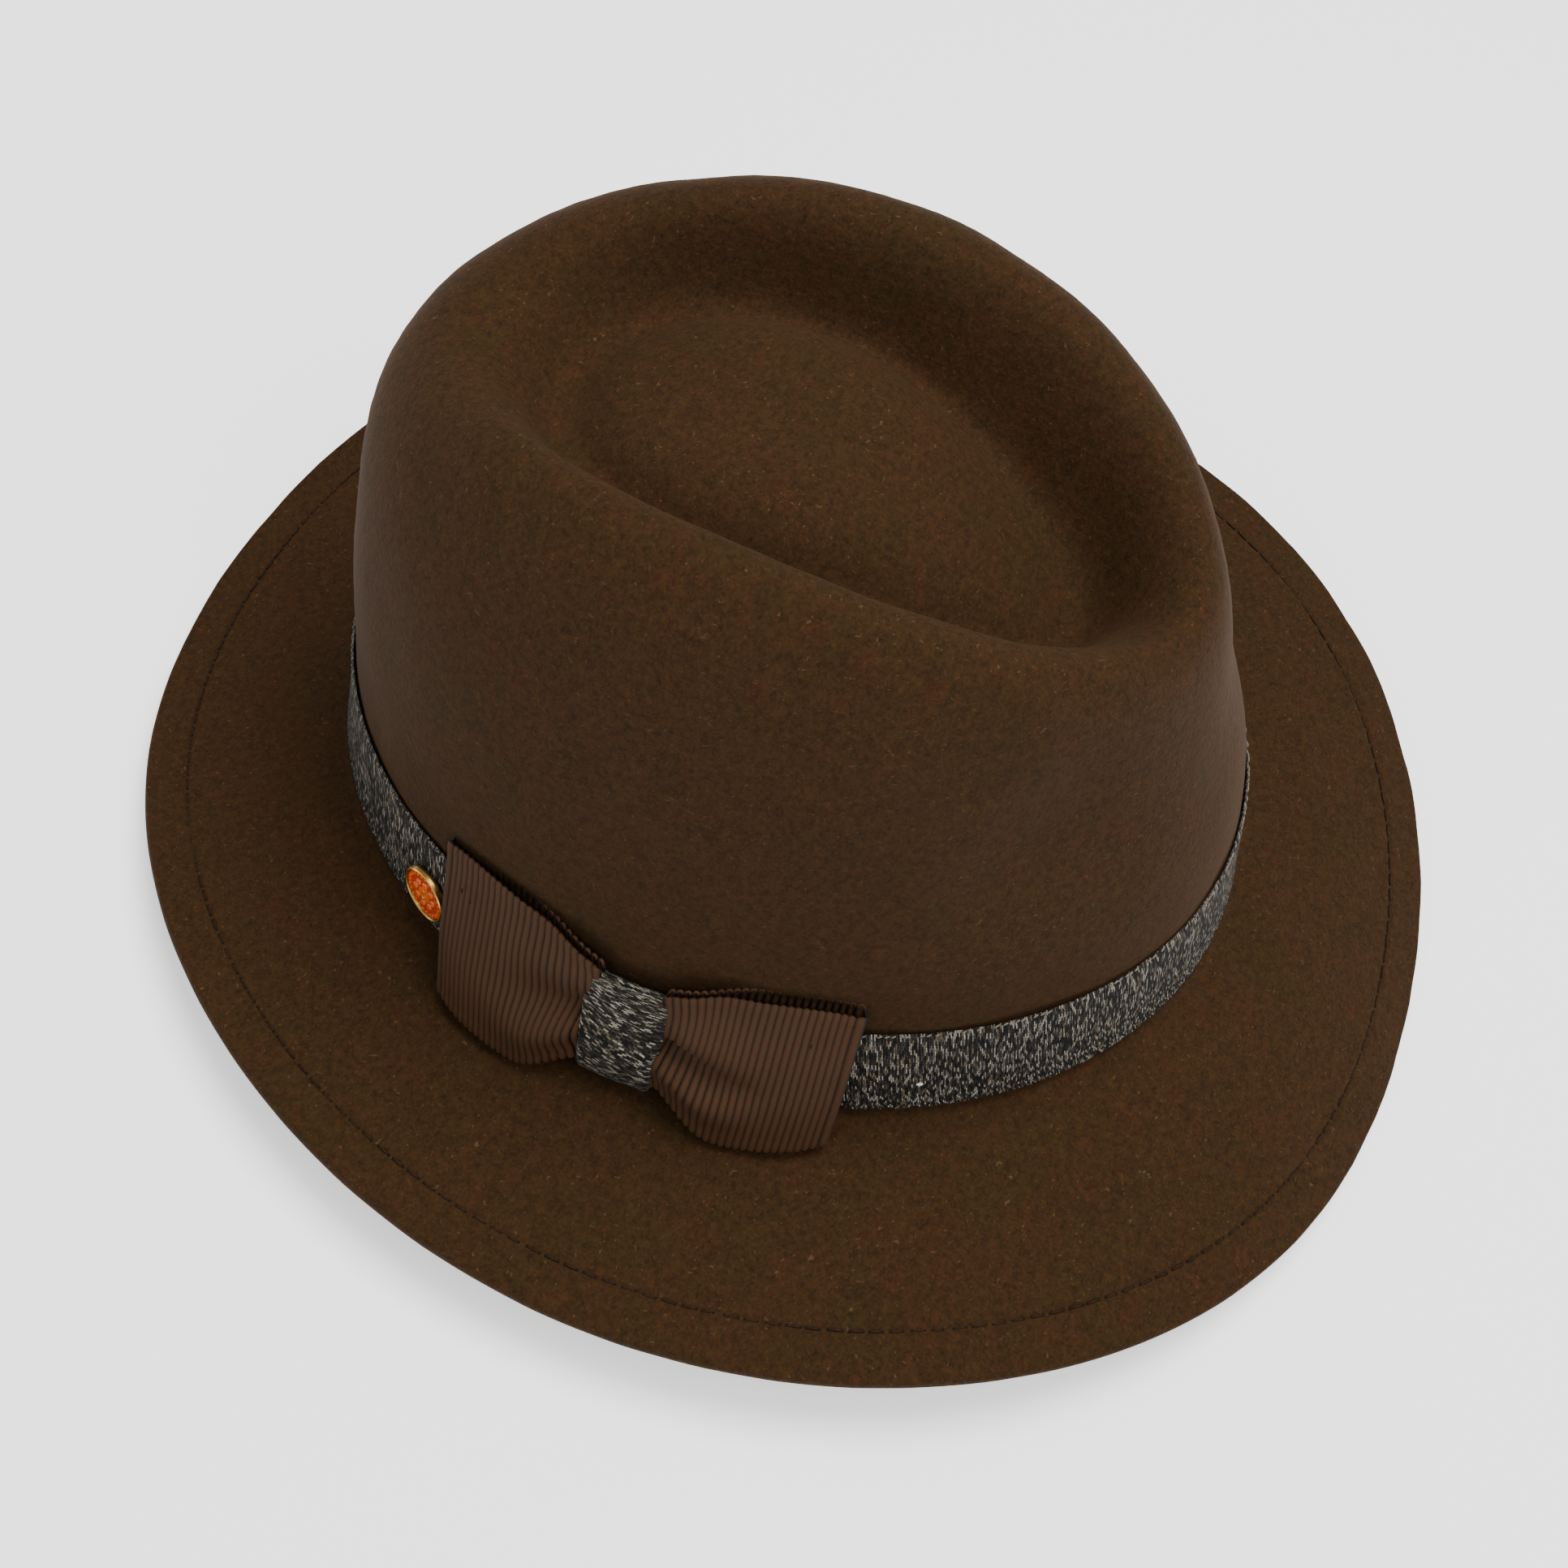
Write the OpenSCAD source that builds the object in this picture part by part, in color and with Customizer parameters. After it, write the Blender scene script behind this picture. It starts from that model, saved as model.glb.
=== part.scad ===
// Short-brimmed felt hat with a teardrop crown, a melange hat band, a ribbon bow and a
// round enamel badge that turns on its post. Millimetres. The hat rests on its brim at
// z = 0, the front of the hat points along -Y and the wearer's right is -X.

/* [Head opening] */
// Half width of the felt oval where the brim meets the crown
oval_a = 86; // [84:0.5:88]
// Half length of the felt oval where the brim meets the crown
oval_b = 100; // [98:0.5:102]
// Height of the break line above its own plane at the front, the sides and the back
break_z = [-0.1, 0.9, -1.7]; // [-2:0.1:2]

/* [Felt] */
// Thickness of the blocked wool felt
felt_t = 2.2; // [2:0.1:2.4]
// Thickness where the edge of the brim is folded under and stitched
welt_t = 3.2; // [2.8:0.1:4]

/* [Brim] */
// Width along the felt at the front, the sides and the back
brim_w = [55, 51.9, 43.6]; // [40:0.1:60]
// Mean slope in degrees at the front, the sides and the back
brim_slope = [-25.8, -4.7, -10.9]; // [-30:0.1:10]
// Extra slope in degrees on the diagonals
brim_wave = 7.5; // [0:0.1:9]
// Change of slope from the break to the edge, in degrees
brim_curl = [-19.7, 14.6, 26.2]; // [-30:0.1:40]

/* [Hat band and sweatband] */
// Thickness of the woven hat band
band_t = 1.0; // [0.8:0.1:1.2]
// Gap between the band and the felt
band_gap = 0.15; // [0.1:0.05:0.3]
// Height of the top edge of the sweatband above the break
sweat_top = 33; // [31:1:34]
// Thickness of the sweatband
sweat_t = 0.9; // [0.8:0.1:1.4]

/* [Bow] */
// Angle of the knot around the crown, from the wearer's left
bow_at = 179; // [176:1:182]
// Half angle of the bow around the crown
bow_half = 27.5; // [25:0.5:29]
// Thickness of the ribbon
ribbon_t = 0.8; // [0.6:0.1:1]

/* [Badge] */
// Diameter of the badge
badge_d = 12.8; // [11:0.2:14]
// Angle of the badge around the crown
badge_at = 148.5; // [146:0.5:149]
// Diameter of the post that the badge turns on
post_d = 1.6; // [1.4:0.1:1.8]
// Radial clearance of the post in the felt and the band
post_fit = 0.05; // [0.03:0.01:0.08]

/* [Hidden] */

nt = 72;                       // facets around the hat
A = oval_a;
B = oval_b;

// Fractions of the brim width at which the profile is steered
brim_u = [1, 0.85, 0.7, 0.55, 0.4, 0.25, 0.1, 0.03];
nb = len(brim_u);

// Rings that steer the crown, from the break up the wall, over the rim and into the
// teardrop: inset of the sides, the front and the back from the oval, narrowing towards
// the front, squareness, then the height at the front, the sides and the back
rings = [
    [ 0.2,  0.3,  0.3, 0.00, 0.00,   3,   3,   3  ],
    [ 1.6,  1.4,  1.2, 0.00, 0.00,  13,  13,  13  ],
    [ 3.6,  3.6,  2.8, 0.00, 0.00,  27,  28,  27  ],
    [ 6.0,  7.0,  4.2, 0.00, 0.01,  42,  50,  46  ],
    [10.0, 12.5,  5.8, 0.00, 0.02,  58,  71,  67  ],
    [17.2, 17.4,  8.0, 0.00, 0.01,  73,  91.5, 88.5],
    [29.4, 22.0, 14.0, -0.016, 0.0, 89, 113, 100  ],
    [42.4, 29.5, 25.3, -0.014, 0.0, 95, 119.7, 105.3],
    [50.0, 38.5, 36.0, 0.10, 0.03,  85, 107.5, 101],
    [54.5, 45.0, 42.5, 0.18, 0.02,  73,  95.5, 93 ],
    [58.0, 50.0, 48.5, 0.22, 0.00,  72.5, 94.5, 92.5],
    [62.5, 57.0, 55.0, 0.20, 0.00,  80, 100.5, 98.5],
    [74.0, 80.0, 78.0, 0.00, 0.00,  97, 104, 104  ],
    [A,    B,    B,    0.00, 0.00, 103, 103, 103  ]
];
nctl = nb + len(rings);

// Front pinches of the crown: angle, half spread, height, half height and depth
pinch = [-128, 20, 66, 20, 7];

// Value that runs from front to side to back around the hat
function fsb(t, v) = (v[0] + v[2]) / 4 + v[1] / 2 + (v[2] - v[0]) / 2 * sin(t)
                     - ((v[0] + v[2]) / 4 - v[1] / 2) * cos(2 * t);

// Outward normal of the oval
function out(t) = let(n = [cos(t) / A, sin(t) / B, 0]) n / norm(n);

function slope(t, u) = fsb(t, brim_slope) + brim_wave * pow(sin(2 * t), 2)
                       + fsb(t, brim_curl) * (u - 0.5);

// Point on top of the brim at a fraction u of its width
function brim(t, u) =
    let(n = 12, l = fsb(t, brim_w) * u / n,
        a = [for (k = [0:n - 1]) slope(t, (k + 0.5) / n * u)],
        d = [for (k = a) cos(k)] * [for (k = a) l], h = [for (k = a) sin(k)] * [for (k = a) l])
    [A * cos(t), B * sin(t), fsb(t, break_z)] + out(t) * d + [0, 0, h];

function ring(t, r) =
    let(x = A - r[0], f = B - r[1], k = B - r[2], sq = 1 + r[4] * pow(sin(2 * t), 2))
    [x * cos(t) * (1 + r[3] * sin(t)) * sq, (k - f) / 2 + (k + f) / 2 * sin(t) * sq,
     fsb(t, break_z) * max(0, 1 - r[6] / 60) + fsb(t, [r[5], r[6], r[7]])];

function ctl(t, i) = i < 0 ? 2 * ctl(t, 0) - ctl(t, 1)
                   : i >= nctl ? 2 * ctl(t, nctl - 1) - ctl(t, nctl - 2)
                   : i < nb ? brim(t, brim_u[i]) : ring(t, rings[i - nb]);

function wrap(a) = a - 360 * floor((a + 180) / 360);

// Inward push of one pinch
function push(t, v, z, at) = pinch[4] * exp(-pow(wrap(t - at) / pinch[1], 2)
                             - pow((z - pinch[2]) / pinch[3], 2))
                             * (v > 7 ? min(1, max(0, (16.5 - v) / 3)) : 0);

// Top of the felt at angle t and station v: 0 is the brim edge, 21 the middle of the crown
function hat(t, v) =
    let(i = min(floor(v), nctl - 2), f = v - i, c = [for (k = [-1:2]) ctl(t, i + k)],
        p = (pow(1 - f, 3) * c[0] + (3 * pow(f, 3) - 6 * f * f + 4) * c[1]
             + (-3 * pow(f, 3) + 3 * f * f + 3 * f + 1) * c[2] + pow(f, 3) * c[3]) / 6,
        g = push(t, v, p[2], pinch[0]) + push(t, v, p[2], -180 - pinch[0]))
    p - g * [cos(t), sin(t), 0];

function skin_normal(t, v) =
    let(w = min(v, nctl - 1.1), n = cross(hat(t + 0.5, w) - hat(t - 0.5, w),
                                          hat(t, w - 0.05) - hat(t, w + 0.05)))
    -n / norm(n);

// Point a distance d off the top of the felt, or under it where d is negative
function off(t, v, d) = hat(t, v) + skin_normal(t, v) * d;

angles = [for (i = [0:nt - 1]) i * 360 / nt];

// Closed ring solid: a list of sections around the hat, each a closed outline
module ring_solid(sec) {
    n = len(sec);
    m = len(sec[0]);
    polyhedron([for (s = sec) for (p = s) p],
               [for (i = [0:n - 1]) for (j = [0:m - 1]) for (h = [0, 1])
                   let(a = i * m + j, b = i * m + (j + 1) % m,
                       c = ((i + 1) % n) * m + (j + 1) % m, d = ((i + 1) % n) * m + j)
                   h == 0 ? [a, b, c] : [a, c, d]]);
}

// Solid lofted through a list of sections, closed by a flat cap at each end
module loft(sec) {
    n = len(sec);
    m = len(sec[0]);
    polyhedron([for (s = sec) for (p = s) p],
               concat([for (i = [0:n - 2]) for (j = [0:m - 1]) for (h = [0, 1])
                   let(a = i * m + j, b = i * m + (j + 1) % m, c = a + m, d = b + m)
                   h == 0 ? [a, b, d] : [a, d, c]],
                   [[for (j = [0:m - 1]) m - 1 - j], [for (j = [0:m - 1]) (n - 1) * m + j]]));
}

// Many short stitches: each is a slim three-sided bar from p to q
module stitches(bars, w, h) {
    ends = [for (b = bars) let(d = (b[1] - b[0]) / norm(b[1] - b[0]), s = cross(b[2], d))
        for (p = [b[0], b[1]]) for (c = [[-w, 0], [0, h], [w, 0]]) p + s * c[0] + b[2] * c[1]];
    polyhedron(ends, [for (k = [0:len(bars) - 1]) let(o = k * 6) for (f = [
        [0, 1, 2], [5, 4, 3], [0, 3, 4, 1], [1, 4, 5, 2], [2, 5, 3, 0]])
        [for (i = f) o + i]]);
}

// The hat is tilted and lifted so that it stands on the front and back of its brim
edge = [for (t = angles) off(t, 0, -welt_t)];
tilt = -3.0;
function sit(p) = [p[0], p[1] * cos(tilt) - p[2] * sin(tilt), p[1] * sin(tilt) + p[2] * cos(tilt)];
sat = [for (t = angles) for (d = [0, -welt_t]) sit(off(t, 0, d) + out(t) * 0.4)];
lift = -min([for (p = sat) p[2]]);
shift_y = -(max([for (p = sat) p[1]]) + min([for (p = sat) p[1]])) / 2;
module seated() { translate([0, shift_y, lift]) rotate([tilt, 0, 0]) children(); }

// Frame of the badge on the outside of the band
badge_v = 8.92;
badge_p = off(badge_at, badge_v, band_gap + band_t);
badge_n = skin_normal(badge_at, badge_v);
module at_badge() {
    translate(badge_p) rotate([0, acos(badge_n[2]), atan2(badge_n[1], badge_n[0])]) children();
}
p0 = sit(badge_p) + [0, shift_y, lift];
n0 = sit(badge_n);
echo(badge_pos = p0, badge_axis = n0, lift = lift, shift_y = shift_y);
clutch_pocket = 1.3;           // depth of the pocket that the clutch sits in

// Stations of the profile, close together where the felt bends
felt_v = [0, 0.35, 0.7, 1.05, 1.4, 1.46, 2, 2.6, 3.2, 3.9, 4.6, 5.3, 5.9, 6.4, 6.8, 7.1, 7.4,
          7.7, 8.1, 8.6, 9.3, 10, 10.8, 11.6, 12.3, 13, 13.5, 14, 14.5, 15, 15.5, 16, 16.5,
          17, 17.5, 18, 18.6, 19.3, 20.2];
function felt_depth(v) = v < 1.42 ? welt_t : felt_t;

// One felt: brim with its folded edge, wall and teardrop crown
module felt_skin() {
    m = len(felt_v);
    top = [for (t = angles) for (v = felt_v) hat(t, v)];
    low = [for (t = angles) for (v = felt_v) off(t, v, -felt_depth(v))];
    rim = [for (t = angles) (hat(t, 0) + off(t, 0, -welt_t)) / 2 + out(t) * 0.4];
    tip = hat(0, nctl - 1);
    pts = concat(top, low, rim, [tip, tip - [0, 0, felt_t]]);
    o = nt * m;
    r = 2 * o;
    polyhedron(pts, concat(
        [for (i = [0:nt - 1]) let(k = (i + 1) % nt) for (j = [0:m - 2]) for (h = [0:3])
            let(a = i * m + j, b = k * m + j)
            h == 0 ? [a, a + 1, b + 1] : h == 1 ? [a, b + 1, b]
            : h == 2 ? [o + a, o + b + 1, o + a + 1] : [o + a, o + b, o + b + 1]],
        [for (i = [0:nt - 1]) let(k = (i + 1) % nt) for (f = [
            [i * m, k * m, r + k], [i * m, r + k, r + i],
            [r + i, r + k, o + k * m], [r + i, o + k * m, o + i * m],
            [i * m + m - 1, r + nt, k * m + m - 1],
            [o + i * m + m - 1, o + k * m + m - 1, r + nt + 1]]) f]));
}

module felt_body() {
    color("#48311f") seated() difference() {
        felt_skin();
        at_badge() {
            translate([0, 0, -12]) cylinder(d = post_d + 2 * post_fit, h = 16, $fn = 48);
            translate([0, 0, -band_gap - band_t - felt_t - 3])
                cylinder(d = 7, h = 3 + clutch_pocket, $fn = 48);
        }
    }
}

// Line of stitches that holds the folded edge of the brim
stitch_n = 212;
stitch_v = 1.18;
module welt_stitches() {
    color("#3a2415") seated() stitches(
        [for (k = [0:stitch_n - 1]) let(a = k * 360 / stitch_n, b = a + 0.62 * 360 / stitch_n)
            [off(a, stitch_v, 0.2), off(b, stitch_v, 0.2), skin_normal(a, stitch_v)]], 0.3, 0.25);
}

// Woven band around the foot of the crown
band_v = [7.72, 8.2, 8.8, 9.4, 9.98];
module hat_band() {
    g = band_gap;
    color("#474240") seated() difference() {
        ring_solid([for (t = angles) concat(
            [for (v = band_v) off(t, v, g)],
            [for (k = [len(band_v) - 1:-1:0]) off(t, band_v[k], g + band_t)])]);
        at_badge() translate([0, 0, -4]) cylinder(d = post_d + 2 * post_fit, h = 8, $fn = 48);
    }
}

// Thread tacks that catch the band to the felt, two near the bow and one at the back
tack_at = [[152.9, 8.8], [213, 8.8], [90, 9.2]];
module band_tacks() {
    color("#d8d2c6") seated() stitches(
        [for (k = tack_at) [off(k[0], k[1], 1.5), off(k[0] + 0.7, k[1], 1.5),
                            skin_normal(k[0], k[1])]], 0.35, 0.3);
}

// Place of the bow: s runs from one end to the other, w from the foot to the top edge. The
// foot stands away from the crown and is nearly straight; the top edge follows the band
bow_low = [2.0, 6.8, 4.4];     // height, distance from the oval and how much it grows
bow_top = [31.5, -1.6, -1.8];  // the same at the top edge
bow_pull = [5.0, -1.1];        // distances of the foot and the top inside the knot
function ease(x) = let(f = min(1, max(0, x))) f * f * (3 - 2 * f);
function bow_neck(s) = 1 - ease((abs(s) - 0.2) / 0.22);
function bow_out(s) = out(bow_at - bow_half * s);
function bow_base(s, w) =
    let(n = bow_neck(s), g = 0.15 * n, k = g + w * (1 - 2 * g),
        t = bow_at - s * (bow_half - 4.7 * (1 - k)),
        foot = n * bow_pull[0] + (1 - n) * (bow_low[1] + bow_low[2] * s * s),
        top = n * bow_pull[1] + (1 - n) * (bow_top[1] + bow_top[2] * s * s),
        h = bow_low[0] + (bow_top[0] - bow_low[0]) * k)
    [A * cos(t), B * sin(t), h] + out(t) * (foot + (top - foot) * k);
// How far the front of the flattened loop stands from its middle surface
function bow_puff(s) = 2.6 * pow(max(0, 1 - pow(abs(abs(s) - 0.61) / 0.4, 2.2)), 0.6);
function bow_front(s) = ribbon_t + 0.9 * bow_puff(s);
module bow_ribbon() {
    n = 24;
    m = 5;
    color("#50341f") seated() loft([for (i = [-n / 2:n / 2]) let(s = i / n * 2) concat(
        [for (j = [0:m]) bow_base(s, j / m) + bow_out(s) * bow_front(s)],
        [for (j = [m:-1:0])
            bow_base(s, j / m) - bow_out(s) * (ribbon_t * 0.2 + 0.2 * bow_puff(s))])]);
}

// Strip of band cloth wrapped around the waist of the bow
knot_w = 17;
function knot_at(f) = [
    for (k = [0:11]) let(a = 30 * k, c = cos(a), s = sin(a),
        x = sign(c) * pow(abs(c), 0.6), z = sign(s) * pow(abs(s), 0.8)) [x * f, z]];
module bow_knot() {
    t = bow_at;
    mid = bow_base(0, 0.5) + out(t) * 0.5;
    along = bow_base(0, 1) - bow_base(0, 0);
    upw = along / norm(along);
    across = cross(upw, [0, 1, 0]) / norm(cross(upw, [0, 1, 0]));
    function sec(y, g) = [for (k = knot_at(1))
        mid + [y * y / 232, y, 0] + across * k[0] * (2.75 - g - 0.3 * pow(y / knot_w * 2, 2))
        + upw * k[1] * (14.2 - g)];
    ys = [for (k = [-4:4]) knot_w / 8 * k];
    n = len(ys);
    rows = [for (y = ys) for (g = [0, 0.9]) sec(y, g)];
    color("#57524e") seated() {
        m = 12;
        polyhedron([for (r = rows) for (p = r) p], concat(
            [for (i = [0:n - 2]) for (j = [0:m - 1]) for (f = [0, 1]) for (h = [0, 1])
                let(a = (2 * i + f) * m + j, b = (2 * i + f) * m + (j + 1) % m,
                    c = a + 2 * m, d = b + 2 * m)
                f == 0 ? (h == 0 ? [a, b, d] : [a, d, c]) : (h == 0 ? [a, d, b] : [a, c, d])],
            [for (j = [0:m - 1]) for (h = [0, 1]) let(k = (j + 1) % m)
                h == 0 ? [j, m + j, m + k] : [j, m + k, k]],
            [for (j = [0:m - 1]) for (h = [0, 1]) let(k = (j + 1) % m, o = (2 * n - 2) * m)
                h == 0 ? [o + j, o + m + k, o + m + j] : [o + j, o + k, o + m + k]]));
    }
}

// Thread tacks that hold the bow to the band
module bow_tacks() {
    color("#3a2415") seated() stitches([for (s = [-0.86, -0.8, 0.8, 0.86])
        let(o = bow_out(s), g = bow_front(s) + 0.3)
        [bow_base(s, 0.9) + o * g, bow_base(s, 0.95) + o * g, o]], 0.3, 0.25);
}

// Gilt cup of the badge, a shallow dish with a rounded lip and a seat for the post
module badge_cup() {
    r = badge_d / 2;
    color("#c9a25b") seated() at_badge() translate([0, 0, 0.3]) difference() {
        rotate_extrude($fn = 96) polygon([[0, 0], [r - 0.5, 0], [r - 0.1, 0.3], [r, 0.8],
            [r - 0.1, 1.5], [r - 0.35, 1.7], [r - 0.6, 1.5], [r - 0.7, 0.9], [0, 0.9]]);
        for (x = [-1.1, 1.1]) translate([x, 0, 0.5]) cylinder(r = 0.3, h = 1, $fn = 24);
        translate([0, 0, -0.1]) cylinder(d = post_d - 0.6, h = 0.7, $fn = 48);
    }
}

// Translucent enamel: a rosette of eight petals inside a beaded ring
module badge_enamel() {
    r = badge_d / 2 - 0.8;
    color("#e0691a") seated() at_badge() translate([0, 0, 1.25]) difference() {
        union() {
            cylinder(r = r, h = 0.35, $fn = 96);
            for (k = [0:7]) rotate(45 * k) translate([2.9, 0, 0.2])
                cylinder(r1 = 0.95, r2 = 0.6, h = 0.4, $fn = 32);
            for (k = [0:23]) rotate(15 * k) translate([r - 0.65, 0, 0.2])
                cylinder(r1 = 0.4, r2 = 0.22, h = 0.35, $fn = 24);
            cylinder(r1 = 2.0, r2 = 1.8, h = 0.5, $fn = 48);
        }
        for (x = [-1.1, 1.1]) translate([x, 0, -0.1]) cylinder(r = 0.45, h = 1, $fn = 32);
    }
}

// Two small gilt rivets in the middle of the badge
module badge_studs() {
    color("#e3c27a") seated() at_badge() for (x = [-1.1, 1.1]) translate([x, 0, 0.85]) {
        cylinder(r = 0.28, h = 1.05, $fn = 24);
        translate([0, 0, 0.95]) cylinder(r1 = 0.42, r2 = 0.28, h = 0.25, $fn = 32);
    }
}

// Post pressed into the back of the cup, through the band and the felt
post_len = band_gap + band_t + felt_t + 0.25;
module badge_post() {
    color("#b08b4c") seated() at_badge() {
        translate([0, 0, -post_len]) cylinder(d = post_d, h = post_len + 0.25, $fn = 48);
        cylinder(d = post_d - 0.64, h = 0.75, $fn = 48);
    }
}

// Star washer that holds the post on the inside of the felt
module badge_clutch() {
    color("#a9a9a6") seated() at_badge()
        translate([0, 0, -band_gap - band_t - felt_t + 0.1]) difference() {
            union() {
                cylinder(r = 2.2, h = 0.6, $fn = 64);
                for (k = [0:5]) rotate(60 * k) translate([1.2, -0.45, 0]) cube([1.9, 0.9, 0.6]);
            }
            translate([0, 0, -1]) cylinder(d = post_d + 0.04, h = 3, $fn = 48);
        }
}

// Inset oval at height z: the wall of the felt leans in as it rises
lean = 0.135;
function oval(t, z, in) = [(A - in - lean * z) * cos(t), (B - in - lean * z) * sin(t),
                           z + fsb(t, break_z)];

// Leather band that lies against the head
sweat_in = felt_t + 1.6;
module sweatband() {
    zs = [1.9, 10, 20, 29, sweat_top];
    color("#5b3a22") seated() ring_solid([for (t = angles) concat(
        [for (k = [len(zs) - 1:-1:0]) oval(t, zs[k], sweat_in + sweat_t)],
        [for (z = zs) oval(t, z, sweat_in)])]);
}

// Round tube or wire that follows the opening
function hoop(t, z, in, r, n = 6) = [for (k = [0:n - 1]) let(a = 360 * k / n)
    oval(t, z, in) + out(t) * r * cos(a) + [0, 0, r * sin(a)]];
module hoop_solid(z, in, r) { ring_solid([for (t = angles) hoop(t, z, in, r)]); }

reed_z = 0.2;
reed_in = felt_t + 2.7;
module sweatband_reed() {
    color("#d9d5cc") seated() hoop_solid(reed_z, reed_in, 0.9);
}

// Tape folded around the reed, open towards the sweatband
module reed_tape() {
    m = 5;
    color("#2b2622") seated() ring_solid([for (t = angles) [for (f = [0, 1]) for (k = [0:m])
        let(a = 110 + 320 * (f == 0 ? k : m - k) / m, r = f == 0 ? 1.4 : 1.05)
        oval(t, reed_z, reed_in) + out(t) * r * cos(a) + [0, 0, r * sin(a)]]]);
}

// Stitches along the foot of the sweatband
module sweatband_stitches() {
    n = 150;
    color("#c9b08a") seated() stitches([for (k = [0:n - 1])
        let(a = 360 / n * k, b = a + 0.6 * 360 / n, in = sweat_in + sweat_t + 0.35)
        [oval(a, 3.6, in), oval(b, 3.6, in), -out(a)]], 0.3, 0.22);
}

// Small ribbon bow over the join of the sweatband at the back
module sweatband_bow() {
    y = B - sweat_in - sweat_t - 3.1;
    color("#3b2a1c") seated() translate([0, y, 8]) rotate([90, 0, 0]) {
        linear_extrude(0.8) polygon([[-1.5, -1.2], [-9, -3.6], [-9.6, 0], [-9, 3.6],
            [-1.5, 1.2], [1.5, 1.2], [9, 3.6], [9.6, 0], [9, -3.6], [1.5, -1.2]]);
        translate([0, 0, 1.1]) rotate([90, 0, 0]) translate([0, 0, -2])
            cylinder(r = 1, h = 4, $fn = 32);
    }
}

// Patch that bends with the sweatband: angles from a to b, heights from z0 to z1
module patch(a, b, z0, z1, in, th, n = 8) {
    loft([for (i = [0:n]) let(t = a + (b - a) * i / n)
        [oval(t, z0, in), oval(t, z1, in), oval(t, z1, in + th), oval(t, z0, in + th)]]);
}

// Blank woven label on the inside of the sweatband
module size_label() {
    color("#e8e2d4") seated() patch(116, 101, 13, 25, sweat_in + sweat_t + 0.3, 0.4);
}

// Lining: side wall, oval tip and the piping between them. Each ring gives the inset of
// the sides, the front and the back, the narrowing towards the front, then the heights
line_t = 0.4;
line_rings = [[ 6.5,  6.5,  6.0, 0.00, 27, 27, 27], [ 7.5,  7.75, 7.0, 0.00, 33.8, 34.8, 32.4],
              [12.0, 15.0, 10.0, 0.03, 44, 52, 50], [18.0, 23.0, 14.0, 0.08, 52, 68, 66],
              [26.0, 30.0, 20.0, 0.12, 59, 80, 78], [36.0, 38.0, 30.0, 0.12, 63, 86, 84]];
function line_pt(t, r, in) =
    let(x = A - r[0] - in, f = B - r[1] - in, k = B - r[2] - in, z = fsb(t, [r[4], r[5], r[6]]),
        g = ease((z - 33) / 12) * (push(t, 9, z, pinch[0]) + push(t, 9, z, -180 - pinch[0])))
    [x * cos(t) * (1 + r[3] * sin(t)) - g * cos(t),
     (k - f) / 2 + (k + f) / 2 * sin(t) - g * sin(t), z];
function inner_ring(in) = line_rings[len(line_rings) - 1] + [in, in, in, 0, 0, 0, 0];

module lining_side() {
    color("#6a4a2c") seated() ring_solid([for (t = angles) concat(
        [for (k = [len(line_rings) - 1:-1:0]) line_pt(t, line_rings[k], line_t)],
        [for (r = line_rings) line_pt(t, r, 0)])]);
}

module lining_piping() {
    color("#8a6238") seated() ring_solid([for (t = angles)
        [for (k = [0:5]) line_pt(t, inner_ring(1.7), 0) + out(t) * 0.8 * cos(60 * k)
            + [0, 0, 0.8 * sin(60 * k)]]]);
}

tip_top = 88;                  // height of the middle of the lining tip
module lining_tip() {
    m = 5;
    function dome(t, j, dz) = let(f = 1 - j / m, p = line_pt(t, inner_ring(3.0), 0))
        [p[0] * f, p[1] * f, p[2] + (tip_top - p[2]) * pow(1 - f, 1.5) + dz];
    pts = concat([for (t = angles) for (j = [0:m - 1]) dome(t, j, line_t)],
                 [for (t = angles) for (j = [0:m - 1]) dome(t, j, 0)],
                 [dome(0, m, line_t), dome(0, m, 0)]);
    o = nt * m;
    color("#6a4a2c") seated() polyhedron(pts, concat(
        [for (i = [0:nt - 1]) let(k = (i + 1) % nt) for (j = [0:m - 2]) for (h = [0:3])
            let(a = i * m + j, b = k * m + j)
            h == 0 ? [a, a + 1, b + 1] : h == 1 ? [a, b + 1, b]
            : h == 2 ? [o + a, o + b + 1, o + a + 1] : [o + a, o + b, o + b + 1]],
        [for (i = [0:nt - 1]) let(k = (i + 1) % nt) for (f = [
            [i * m, k * m, o + k * m], [i * m, o + k * m, o + i * m],
            [i * m + m - 1, 2 * o, k * m + m - 1],
            [o + i * m + m - 1, o + k * m + m - 1, 2 * o + 1]]) f]));
}

felt_body();
welt_stitches();
hat_band();
band_tacks();
bow_ribbon();
bow_knot();
bow_tacks();
badge_cup();
badge_enamel();
badge_studs();
badge_post();
badge_clutch();
sweatband();
sweatband_reed();
reed_tape();
sweatband_stitches();
sweatband_bow();
size_label();
lining_side();
lining_tip();
lining_piping();
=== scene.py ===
"""A short-brimmed felt hat with a teardrop crown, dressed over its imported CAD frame.

The felt, the cloth, the ribbon and the leather are modelled here in metres, in the CAD
frame, and replace the plain CAD solids. The badge keeps its CAD parts.
"""

import logging
import math
from dataclasses import dataclass, field
from enum import Enum
from typing import Callable, Sequence

import bpy
import numpy as np
from mathutils import Matrix, Vector


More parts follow.
